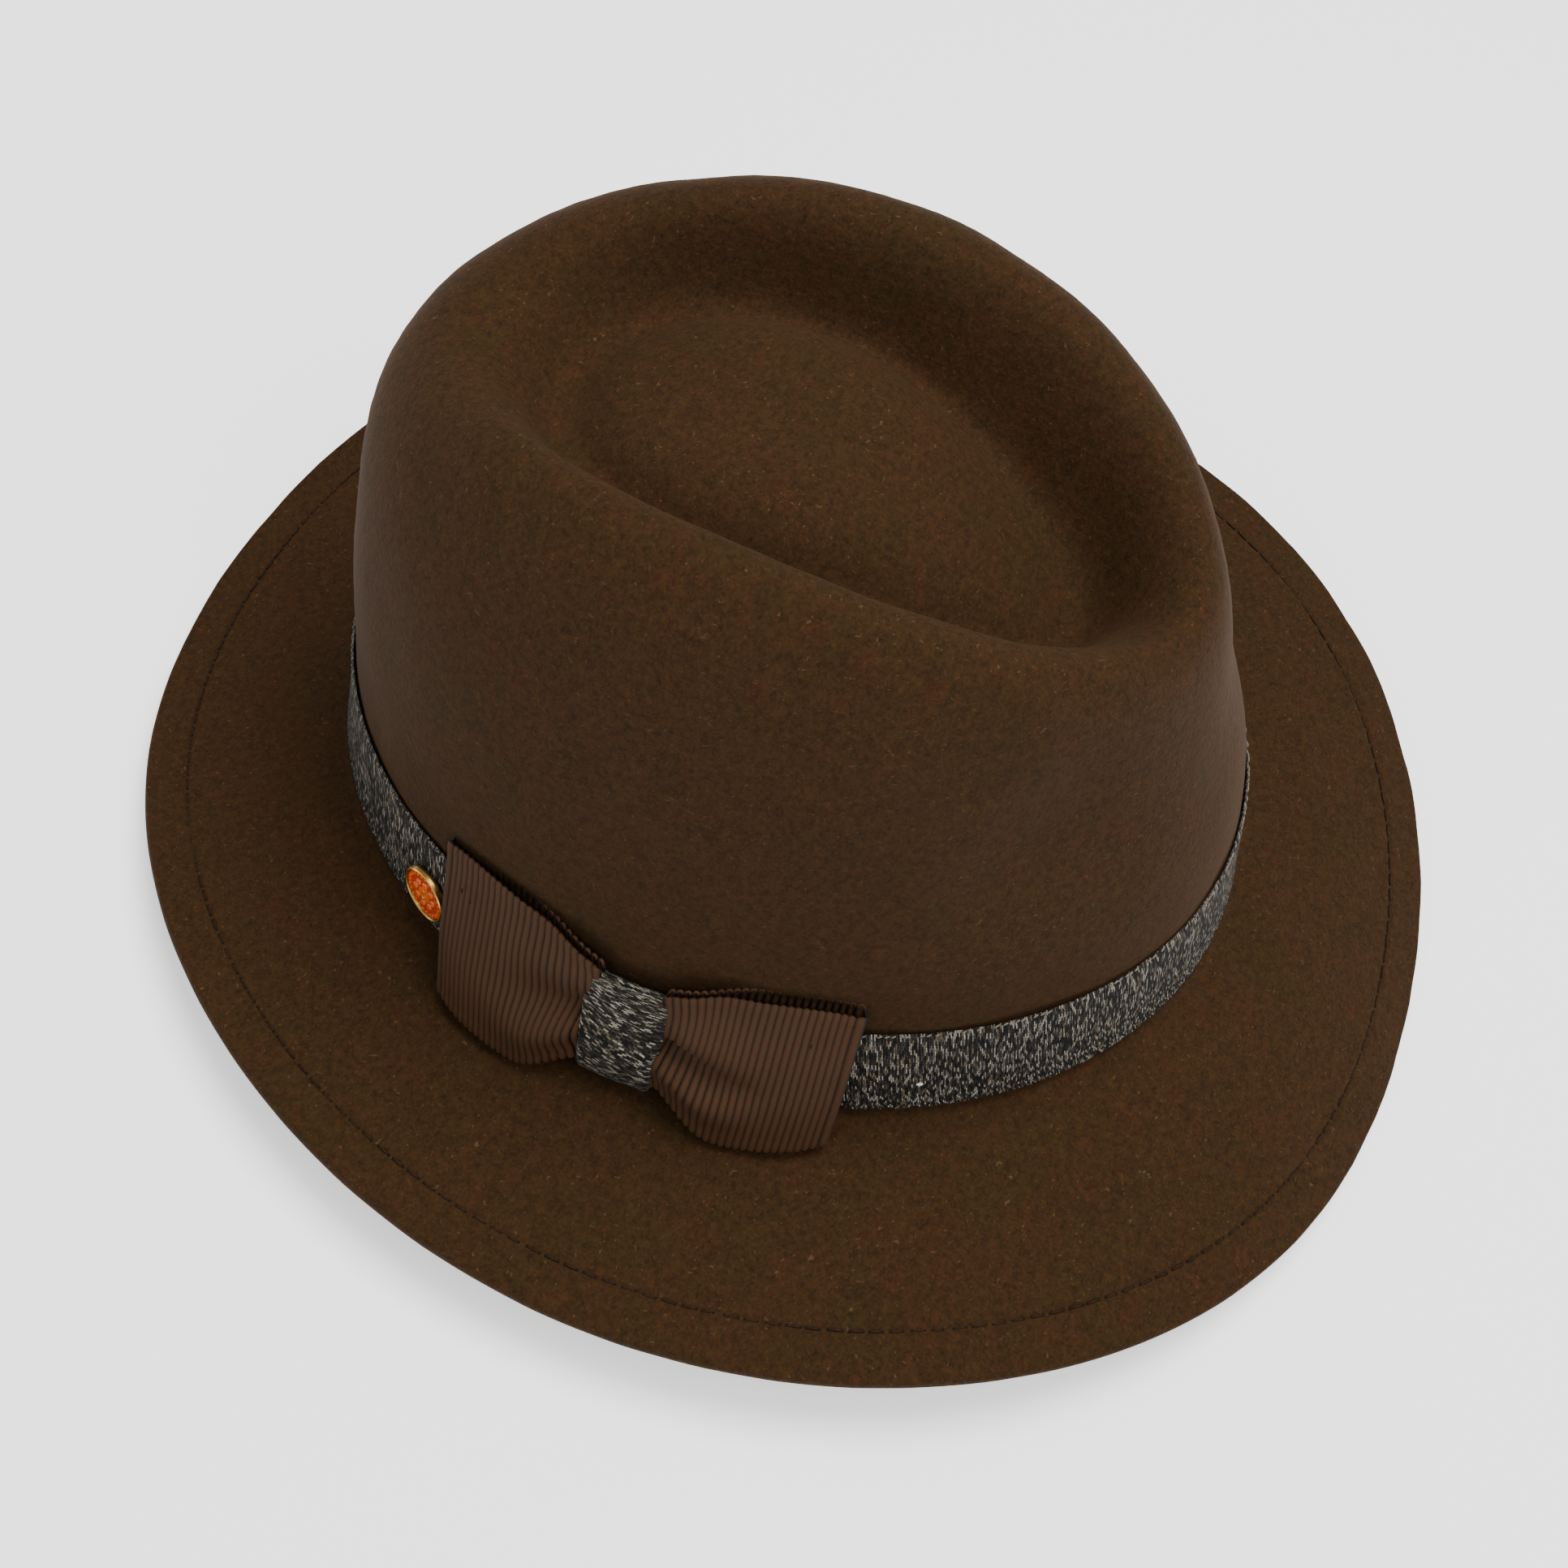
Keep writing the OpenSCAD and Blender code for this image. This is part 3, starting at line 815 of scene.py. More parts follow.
        shade = n.math("ADD", n.math("MULTIPLY", yarn, 0.95), 0.2)
        n.put(gap, 7, shade)
        fuzz = n.noise(uv, 5.0, 3.0, 0.7)
        n.put(o, "Color", gap.outputs[2])
        n.put(o, "Height", n.math("ADD", yarn, n.math("MULTIPLY", fuzz, 0.5)))
        return n.tree


SHELF = GroupShelf()


def srgb(red: int, green: int, blue: int) -> tuple[float, float, float, float]:
    """Linear colour from 0 to 255 screen values.

    Args:
        red: Red, 0 to 255.
        green: Green, 0 to 255.
        blue: Blue, 0 to 255.

    Returns:
        Linear red, green, blue and alpha.
    """
    line = [
        c / 255 / 12.92 if c / 255 <= 0.04045 else ((c / 255 + 0.055) / 1.055) ** 2.4
        for c in (red, green, blue)
    ]
    return (line[0], line[1], line[2], 1.0)


class Finish:
    """Base of the finishes: starts a material with one Principled shader."""

    name: str = "finish"

    def start(self) -> tuple[bpy.types.Material, Nodes, bpy.types.Node]:
        """Make the material.

        Returns:
            The material, its node builder and its Principled shader.
        """
        material = bpy.data.materials.new(self.name)
        material.use_nodes = True
        material.node_tree.nodes.clear()
        n = Nodes(material.node_tree)
        shader = n.add("BsdfPrincipled")
        out = n.add("OutputMaterial", Surface=shader.outputs[0])
        out.location = (400, 0)
        return material, n, shader

    @staticmethod
    def bump(n: Nodes, height: object, strength: float, distance: float) -> object:
        """Turn a height into a normal with a Bump node."""
        node = n.add("Bump", Strength=strength, Distance=distance)
        n.put(node, "Height", height)
        return node.outputs[0]

    def build(self) -> bpy.types.Material:
        """Build the material."""
        raise NotImplementedError


@dataclass(frozen=True)
class FeltFinish(Finish):
    """Brushed wool felt with a short nap."""

    name: str = "wool_felt"
    base: tuple = srgb(46, 29, 12)
    olive: tuple = srgb(38, 30, 9)
    red: tuple = srgb(54, 27, 13)
    pale: tuple = srgb(112, 88, 58)

    def build(self) -> bpy.types.Material:
        """Build the felt from the shared heather group.

        Returns:
            The material.
        """
        material, n, shader = self.start()
        coords = n.add("TexCoord")
        wool = n.add("Group", node_tree=SHELF.get(GroupKind.HEATHER))
        n.put(wool, "Vector", coords.outputs["Object"])
        for key in ("Base", "Olive", "Red", "Pale"):
            n.put(wool, key, getattr(self, key.lower()))
        n.put(wool, "Amount", 0.42)
        n.put(shader, "Base Color", wool.outputs["Color"])
        rough = n.math("ADD", n.math("MULTIPLY", wool.outputs["Fibre"], -0.12), 0.92)
        n.put(shader, "Roughness", rough)
        n.put(shader, "Normal", self.bump(n, wool.outputs["Height"], 0.55, 0.00035))
        n.put(shader, "Specular IOR Level", 0.12)
        n.put(shader, "Sheen Weight", 0.05)
        n.put(shader, "Sheen Roughness", 0.45)
        n.put(shader, "Sheen Tint", srgb(214, 166, 118))
        return material


@dataclass(frozen=True)
class MelangeFinish(Finish):
    """Dark melange twill, laid out on the piece's own UV map."""

    name: str = "melange_twill"
    size_mm: tuple[float, float] = (580.0, 26.0)
    slant: float = 1.35
    dark: tuple = srgb(16, 14, 13)
    mid: tuple = srgb(50, 46, 42)
    light: tuple = srgb(152, 146, 134)
    warm: tuple = srgb(104, 88, 66)
    fleck: float = 0.9
    pitch: float = 0.36
    length: float = 1.3
    wave: float = 0.03

    def build(self) -> bpy.types.Material:
        """Build the twill from the shared group.

        Returns:
            The material.
        """
        material, n, shader = self.start()
        uv = n.add("UVMap")
        flat = n.stretch(uv.outputs[0], (self.size_mm[0], self.size_mm[1], 1.0))
        turned = n.stretch(flat, (1.0, 1.0, 1.0), self.slant)
        cloth = n.add("Group", node_tree=SHELF.get(GroupKind.TWILL))
        n.put(cloth, "UV", turned)
        for key in ("Dark", "Mid", "Light", "Warm"):
            n.put(cloth, key, getattr(self, key.lower()))
        n.put(cloth, "Fleck", self.fleck)
        n.put(cloth, "Pitch", self.pitch)
        n.put(cloth, "Length", self.length)
        n.put(cloth, "Wave", self.wave)
        n.put(shader, "Base Color", cloth.outputs["Color"])
        rough = n.math("SUBTRACT", 0.86, n.math("MULTIPLY", cloth.outputs["Height"], 0.12))
        n.put(shader, "Roughness", rough)
        n.put(shader, "Normal", self.bump(n, cloth.outputs["Height"], 0.8, 0.00025))
        n.put(shader, "Specular IOR Level", 0.12)
        n.put(shader, "Sheen Weight", 0.02)
        n.put(shader, "Sheen Roughness", 0.4)
        return material


@dataclass(frozen=True)
class RibbonFinish(Finish):
    """Grosgrain: the ribs are modelled, fine warp threads run over them, and the rib valleys get
    painted shade.
    """

    name: str = "grosgrain_ribbon"
    base: tuple = srgb(67, 43, 25)
    # deep: near-black colour of the painted shade in the rib valleys and the twist dips
    deep: tuple = srgb(9, 5, 2)
    threads: float = 1500.0
    twist: float = 300.0

    def build(self) -> bpy.types.Material:
        """Build the ribbon's colour with painted shade in its rib valleys, its thread bump and soft
        gloss.

        Returns:
            The material.
        """
        material, n, shader = self.start()
        coords = n.add("TexCoord")
        broad = n.noise(coords.outputs["Object"], 90.0, 2.0)
        fine = n.noise(coords.outputs["Object"], self.threads, 2.0, 0.6)
        rib = n.add("Attribute", attribute_name="rib", attribute_type="GEOMETRY")
        uv = n.add("SeparateXYZ", Vector=n.add("UVMap").outputs[0])
        across = n.math("MULTIPLY", uv.outputs[1], self.twist * 2)
        run = n.math("ADD", across, n.math("MULTIPLY", uv.outputs[0], self.twist))
        ply = n.math("ADD", n.math("MULTIPLY", n.math("SINE", run), 0.5), 0.5)
        # Painted shade: low on each rib (the rib attribute) and on the dark half of each twist of
        # the ply, the colour goes towards deep; the fine noise adds random thread tone.
        depth = n.math("MULTIPLY", rib.outputs["Fac"], 0.75)
        depth = n.math("ADD", depth, n.math("MULTIPLY", fine, 0.3))
        depth = n.math("ADD", depth, n.math("MULTIPLY", ply, 0.16))
        colour = n.mix(n.ramp(depth, 0.42, 1.08), self.deep, self.base)
        tint = n.add("Mix", data_type="RGBA", blend_type="MULTIPLY")
        n.put(tint, 0, 1.0)
        n.put(tint, 6, colour)
        n.put(tint, 7, n.math("ADD", n.math("MULTIPLY", broad, 0.3), 0.85))
        n.put(shader, "Base Color", tint.outputs[2])
        n.put(shader, "Roughness", n.math("ADD", n.math("MULTIPLY", fine, 0.2), 0.56))
        n.put(shader, "Normal", self.bump(n, fine, 0.4, 0.00008))
        n.put(shader, "Specular IOR Level", 0.14)
        n.put(shader, "Sheen Weight", 0.02)
        n.put(shader, "Sheen Roughness", 0.35)
        return material


@dataclass(frozen=True)
class ThreadFinish(Finish):
    """Twisted sewing thread."""

    name: str = "sewing_thread"
    base: tuple = srgb(44, 29, 18)

    def build(self) -> bpy.types.Material:
        """Build the thread with a fine twist in its colour and bump.

        Returns:
            The material.
        """
        material, n, shader = self.start()
        coords = n.add("TexCoord")
        twist = n.noise(coords.outputs["Object"], 2600.0, 2.0, 0.6)
        deep = tuple(c * 0.45 for c in self.base[:3]) + (1.0,)
        n.put(shader, "Base Color", n.mix(n.ramp(twist, 0.3, 0.7), deep, self.base))
        n.put(shader, "Roughness", n.math("ADD", n.math("MULTIPLY", twist, 0.2), 0.65))
        n.put(shader, "Normal", self.bump(n, twist, 0.5, 0.00008))
        n.put(shader, "Specular IOR Level", 0.12)
        return material


@dataclass(frozen=True)
class LeatherFinish(Finish):
    """Smooth sweatband leather with pores and soft creases."""

    name: str = "sweatband_leather"
    base: tuple = srgb(98, 64, 40)
    deep: tuple = srgb(80, 51, 31)

    def build(self) -> bpy.types.Material:
        """Build the leather from cells, creases and a worn colour.

        Returns:
            The material.
        """
        material, n, shader = self.start()
        v = n.add("TexCoord").outputs["Object"]
        cells = n.add("TexVoronoi", Vector=v, Scale=900.0, feature="DISTANCE_TO_EDGE")
        grain = n.ramp(cells.outputs["Distance"], 0.0, 0.12)
        broad = n.noise(v, 45.0, 4.0, 0.6)
        n.put(shader, "Base Color", n.mix(n.ramp(broad, 0.2, 0.8), self.deep, self.base))
        n.put(shader, "Roughness", n.math("ADD", n.math("MULTIPLY", broad, 0.12), 0.42))
        height = n.math("ADD", n.math("MULTIPLY", grain, 0.6), broad)
        n.put(shader, "Normal", self.bump(n, height, 0.35, 0.0002))
        return material


@dataclass(frozen=True)
class SatinFinish(Finish):
    """Lining satin: smooth, with a soft gloss and very fine threads."""

    name: str = "lining_satin"
    base: tuple = srgb(118, 82, 50)
    deep: tuple = srgb(103, 71, 43)

    def build(self) -> bpy.types.Material:
        """Build the satin with thread lines and a slowly changing painted sheen.

        Returns:
            The material.
        """
        material, n, shader = self.start()
        v = n.add("TexCoord").outputs["Object"]
        threads = n.noise(n.stretch(v, (1.0, 1.0, 0.08)), 2400.0, 2.0, 0.6)
        broad = n.noise(v, 38.0, 3.0, 0.55)
        # Painted sheen: broad noise, together with the tone of the thread lines, moves the colour
        # between deep and base.
        sheen = n.math("ADD", n.math("MULTIPLY", broad, 0.5), n.math("MULTIPLY", threads, 0.5))
        n.put(shader, "Base Color", n.mix(n.ramp(sheen, 0.3, 0.7), self.deep, self.base))
        n.put(shader, "Roughness", n.math("ADD", n.math("MULTIPLY", threads, 0.25), 0.3))
        n.put(shader, "Normal", self.bump(n, threads, 0.3, 0.00008))
        n.put(shader, "Sheen Weight", 0.2)
        return material


@dataclass(frozen=True)
class MetalFinish(Finish):
    """Polished or brushed metal with fine scratches and worn edges."""

    name: str = "gilt"
    base: tuple = srgb(214, 170, 92)
    deep: tuple = srgb(150, 108, 48)
    rough: float = 0.2

    def build(self) -> bpy.types.Material:
        """Build the metal with tarnish and small scratches.

        Returns:
            The material.
        """
        material, n, shader = self.start()
        v = n.add("TexCoord").outputs["Object"]
        tarnish = n.noise(v, 420.0, 4.0, 0.6)
        scratch = n.noise(n.stretch(v, (1.0, 6.0, 1.0), 0.7), 2200.0, 2.0, 0.6)
        n.put(shader, "Base Color", n.mix(n.ramp(tarnish, 0.42, 0.75), self.base, self.deep))
        n.put(shader, "Metallic", 1.0)
        n.put(shader, "Roughness", n.math("ADD", n.math("MULTIPLY", scratch, 0.25), self.rough))
        n.put(shader, "Normal", self.bump(n, scratch, 0.15, 0.00003))
        return material


@dataclass(frozen=True)
class EnamelFinish(Finish):
    """Glossy translucent orange enamel, deeper where it lies thick."""

    name: str = "orange_enamel"
    bright: tuple = srgb(236, 104, 22)
    deep: tuple = srgb(176, 44, 6)

    def build(self) -> bpy.types.Material:
        """Build the enamel with depth in its colour and a clear coat.

        Returns:
            The material.
        """
        material, n, shader = self.start()
        v = n.add("TexCoord").outputs["Object"]
        pool = n.noise(v, 650.0, 3.0, 0.6)
        geometry = n.add("NewGeometry")
        high = n.ramp(geometry.outputs["Pointiness"], 0.47, 0.54)
        mixed = n.math("ADD", n.math("MULTIPLY", high, 0.75), n.math("MULTIPLY", pool, 0.35), True)
        n.put(shader, "Base Color", n.mix(mixed, self.deep, self.bright))
        n.put(shader, "Roughness", n.math("ADD", n.math("MULTIPLY", pool, 0.12), 0.12))
        n.put(shader, "Coat Weight", 0.6)
        n.put(shader, "Coat Roughness", 0.05)
        n.put(shader, "Normal", self.bump(n, pool, 0.25, 0.0001))
        return material


# ---------------------------------------------------------------- sub-assemblies


class Body(Enum):
    """The CAD bodies that pieces ride on."""

    HAT = "root"
    BADGE = "badge"


class Slot(Enum):
    """The record's material slots."""

    FELT = "felt"
    THREAD = "thread"
    BAND = "band_cloth"
    PALE_THREAD = "pale_thread"
    RIBBON = "grosgrain"
    KNOT = "knot_cloth"
    GILT = "gilt"
    ENAMEL = "enamel"
    STEEL = "steel"
    LEATHER = "sweat_leather"
    REED = "reed_plastic"
    TAPE = "tape"
    LABEL = "label_cloth"
    LINING = "lining_satin"
    PIPING = "piping"


class Part:
    """Base of the sub-assemblies: knows the hat's form, its seat and the wardrobe."""

    def __init__(self, form: HatForm, seat: Seat, wardrobe: "Wardrobe") -> None:
        """Keep what every sub-assembly needs.

        Args:
            form: Blocked shape of the felt.
            seat: Turns it into the frame.
            wardrobe: The materials by slot.
        """
        self.form = form
        self.seat = seat
        self.wardrobe = wardrobe

    def finish_piece(
        self, piece: bpy.types.Object, slot: Slot, *nodes: str, material: str | None = None
    ) -> bpy.types.Object:
        """Give a piece its material and body, and replace its CAD nodes.

        Args:
            piece: The finished mesh.
            slot: Its record slot.
            nodes: The CAD nodes that it stands for.
            material: Name of another finish of the same slot, if it isn't the usual one.

        Returns:
            The piece.
        """
        dress(piece, self.wardrobe.get(material or slot.value), Body.HAT.value)
        if nodes:
            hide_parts(*nodes)
        LOG.info("%s: %d faces", piece.name, len(piece.data.polygons))
        return piece

    def ring(
        self, name: str, across: int, along: int, rule: SurfaceRule, smooth: float = 50.0
    ) -> bpy.types.Object:
        """Lay a grid on a closed ring surface, weld it and face it outwards.

        Args:
            name: Name of the piece.
            across: Faces around the hat.
            along: Faces along the section.
            rule: Gives seated points for u around and w along the section.
            smooth: Angle in degrees up to which it is shaded smooth.

        Returns:
            The piece.
        """
        piece = Workshop.sheet_grid(name, across, along, rule)
        Workshop.face_outwards(piece)
        Workshop.smooth(piece, smooth)
        return piece

    @staticmethod
    def section(w: Array, outer: Array, inner: Array, round_by: float = 0.0) -> tuple[Array, Array]:
        """Walk round a flat section: up its outer face and back down its inner face.

        Args:
            w: Place along the walk, 0 to 1.
            outer: Two values at the ends of the outer walk.
            inner: Two values: depth of the outer face and of the inner face.
            round_by: How far the depth is eased at the two turns, as a part of the walk.

        Returns:
            The place along the face and the depth, for each w.
        """
        half = (w <= 0.5).astype(float)
        run = np.where(w <= 0.5, w * 2, 2 - w * 2)
        along = outer[0] + (outer[1] - outer[0]) * run
        ease = np.clip(np.minimum(run, 1 - run) / max(round_by, 1e-6), 0, 1)
        ease = np.sqrt(1 - (1 - ease) ** 2)
        middle = (inner[0] + inner[1]) / 2
        reach = (inner[0] - inner[1]) / 2
        return along, middle + reach * ease * (2 * half - 1)


@dataclass(frozen=True)
class FeltSizes:
    """Sizes of the felt, in millimetres and stations."""

    columns: int = 320
    stitch_station: float = 1.18
    groove: float = 0.35
    groove_width: float = 0.075
    welt_end: float = 1.42
    edge_bulge: float = 0.9
    unevenness: float = 0.18
    stitches: int = 212
    stitch_part: float = 0.6


class FeltBody(Part):
    """The felt: crown, teardrop and brim in one piece, with its folded, sewn edge."""

    sizes = FeltSizes()

    def _walk(self) -> tuple[Array, Array, Array]:
        """Stations, sides and edge angles of the rows, from the inner pole to the outer one.

        Returns:
            For each row its station, whether it lies on top, and its turn round the edge.
        """
        last = self.form.last
        outer = np.concatenate(
            [np.linspace(0, 0.95, 12), np.linspace(1.0, 1.46, 20), np.linspace(1.55, last, 112)]
        )
        inner = np.concatenate(
            [np.linspace(0, 1.3, 9), np.linspace(1.38, 1.5, 5), np.linspace(1.7, last, 62)]
        )[::-1]
        turn = np.radians(np.linspace(-90, 90, 9))[1:-1]
        stations = np.concatenate([inner, 0 * turn, outer])
        top = np.concatenate([0 * inner, 0 * turn + 0.5, 0 * outer + 1])
        edge = np.concatenate([0 * inner - math.pi / 2, turn, 0 * outer + math.pi / 2])
        return stations, top, edge

    def surface(self, u: Array, w: Array) -> Array:
        """Points of the felt for the grid; u runs around, w from pole to pole.

        Args:
            u: Place around or along the piece, 0 to 1.
            w: Place across the piece, 0 to 1.

        Returns:
            Points, one row for each place.
        """
        size, form = self.sizes, self.form
        stations, top, edge = self._walk()
        row = np.rint(w * (len(stations) - 1)).astype(int)
        v, on_top, turn = stations[row], top[row], edge[row]
        angle = u * 2 * math.pi
        point, normal = form.top(angle, v), form.normal(angle, v)
        fold = np.clip((size.welt_end - v) / 0.06, 0, 1)
        thick = form.felt + (form.welt - form.felt) * fold * fold * (3 - 2 * fold)
        rounded = thick / 2 * (1 - np.sin(turn))
        depth = np.where(on_top > 0.9, 0, np.where(on_top < 0.1, thick, rounded))
        line = np.exp(-(((v - size.stitch_station) / size.groove_width) ** 2))
        depth = depth + np.where(on_top > 0.9, size.groove * line, -size.groove * 0.6 * line)
        away = form.top(angle, 0 * v) - form.top(angle, 0 * v + 0.05)
        away /= np.linalg.norm(away, axis=-1, keepdims=True)
        bulge = np.where((on_top > 0.1) & (on_top < 0.9), size.edge_bulge * np.cos(turn), 0)
        rough = wobble(point, 26.0, 3) * size.unevenness + wobble(point, 5.0, 4) * 0.05
        rough = np.where(v > self.form.last - 0.4, 0.0, rough)
        rough = rough + wobble(point, 16.0, 9) * 0.2 * np.exp(-((v / 0.8) ** 2))
        lifted = point - normal * (depth - rough)[..., None] + away * bulge[..., None]
        return self.seat.place(lifted)

    def build(self) -> None:
        """Build the felt, its stitches and the dark dots of painted shade for the needle holes
        beside them.
        """
        stations, _, _ = self._walk()
        felt = self.ring("felt_shell", self.sizes.columns, len(stations) - 1, self.surface, 70)
        self.finish_piece(felt, Slot.FELT, "felt_body")
        self._stitches()

    def _stitches(self) -> None:
        """Lay one stitch after the other along the groove of the brim, with a dot of painted shade
        at each end.
        """
        size, form = self.sizes, self.form
        step = 2 * math.pi / size.stitches
        rng = np.random.default_rng(12)
        begin = np.arange(size.stitches) * step + rng.normal(0, 0.02, size.stitches) * step
        length = step * (size.stitch_part + rng.normal(0, 0.04, size.stitches))
        threads, holes = [], []
        for start, span in zip(begin, length):
            ends = np.array([start, start + span])
            station = np.full(2, size.stitch_station) + rng.normal(0, 0.006, 2)
            a, b = self.seat.place(form.off(ends, station, -0.12))
            up = self.seat.direct(form.normal(ends, station))[0]
            threads.append(
                frame_matrix((a + b) / 2, b - a, up, (np.linalg.norm(b - a), 0.5 * MM, 0.42 * MM))
            )
            # Dark dot at each end of the stitch: painted shade in the needle hole.
            for point, way in ((a, a - b), (b, b - a)):
                dot = (0.7 * MM, 0.6 * MM, 0.3 * MM)
                holes.append(frame_matrix(point - up * 0.05 * MM, way, up, dot))
        line = Workshop.repeat(Workshop.thread_bead(), threads, "brim_stitches")
        self.finish_piece(line, Slot.THREAD, "welt_stitches")
        dots = Workshop.repeat(Workshop.thread_bead(), holes, "needle_hole_shade_dots")
        self.finish_piece(dots, Slot.FELT, material="needle_hole_shade")


@dataclass(frozen=True)
class BandSizes:
    """Sizes of the hat band, in millimetres and stations."""

    stations: tuple[float, float] = (7.72, 9.98)
    gap: float = 0.15
    thick: float = 1.0
    tacks: tuple[tuple[float, float], ...] = ((152.9, 8.8), (213.0, 8.8), (90.0, 9.2))
    picks: int = 420


class HatBand(Part):
    """Woven band round the foot of the crown, with its tacks and the picks of its edge."""

    sizes = BandSizes()

    def surface(self, u: Array, w: Array) -> Array:
        """Points of the band; u runs around, w round its flat section.

        Args:
            u: Place around or along the piece, 0 to 1.
            w: Place across the piece, 0 to 1.

        Returns:
            Points, one row for each place.
        """
        size, form = self.sizes, self.form
        v, d = self.section(w, size.stations, (size.gap + size.thick, size.gap), 0.03)
        angle = u * 2 * math.pi
        soft = wobble(form.top(angle, v), 30.0, 21) * 0.15 * np.sin(math.pi * np.minimum(2 * w, 1))
        return self.seat.place(form.off(angle, v, d + soft))

    def build(self) -> None:
        """Build the band, its edge picks and its thread tacks."""
        size, form = self.sizes, self.form
        band = self.ring("hat_band_cloth", 288, 48, self.surface)
        self.finish_piece(band, Slot.BAND, "hat_band")
        rng = np.random.default_rng(5)
        picks = []
        for k in range(size.picks):
            if rng.random() < 0.35:
                continue
            angle = (k + rng.uniform(-0.2, 0.2)) * 2 * math.pi / size.picks
            ends = np.array([angle, angle + 0.0105])
            top = np.array([size.stations[1] - 0.035] * 2) + np.array([0.0, 0.035])
            a, b = self.seat.place(form.off(ends, top, size.gap + size.thick - 0.12))
            up = self.seat.direct(form.normal(ends, top))[0]
            picks.append(frame_matrix((a + b) / 2, b - a, up, (1.15 * MM, 0.42 * MM, 0.36 * MM)))
        edge = Workshop.repeat(Workshop.thread_bead(), picks, "band_edge_picks")
        self.finish_piece(edge, Slot.BAND, material="band_pick")
        tacks = []
        for at, station in size.tacks:
            ends = np.radians(np.array([at, at + 0.7]))
            a, b = self.seat.place(form.off(ends, np.full(2, station), size.gap + size.thick + 0.2))
            up = self.seat.direct(form.normal(ends, np.full(2, station)))[0]
            tacks.append(frame_matrix((a + b) / 2, b - a, up, (1.5 * MM, 0.8 * MM, 0.7 * MM)))
        dots = Workshop.repeat(Workshop.thread_bead(), tacks, "band_tack_threads")
        self.finish_piece(dots, Slot.PALE_THREAD, "band_tacks")


@dataclass(frozen=True)
class BowSizes:
    """Sizes of the bow, in millimetres and degrees."""

    at: float = 179.0
    half_angle: float = 27.5
    badge_side: tuple[float, float] = (27.0, 22.4)
    front_side: tuple[float, float] = (25.8, 23.6)
    low: Triple = (2.0, 6.8, 0.6)
    top: Triple = (32.3, -1.8, -1.6)
    lift: float = 2.2
    rise: tuple[float, float] = (2.9, 2.6)
    bead_height: float = 0.45
    scallop: float = 0.032
    arch: float = 0.16
    back_edge: float = 0.035
    knot_thick: float = 3.05
    knot_half_tall: float = 14.6
    knot_wall: float = 0.9
    pull: tuple[float, float] = (5.0, -1.1)
    ribbon: float = 0.8
    cloth: float = 0.55
    rib_pitch: float = 1.4
    rib_height: float = 0.62
    ribs: int = 27
    columns_per_rib: int = 8
    rows: int = 44
    knot_width: float = 17.0


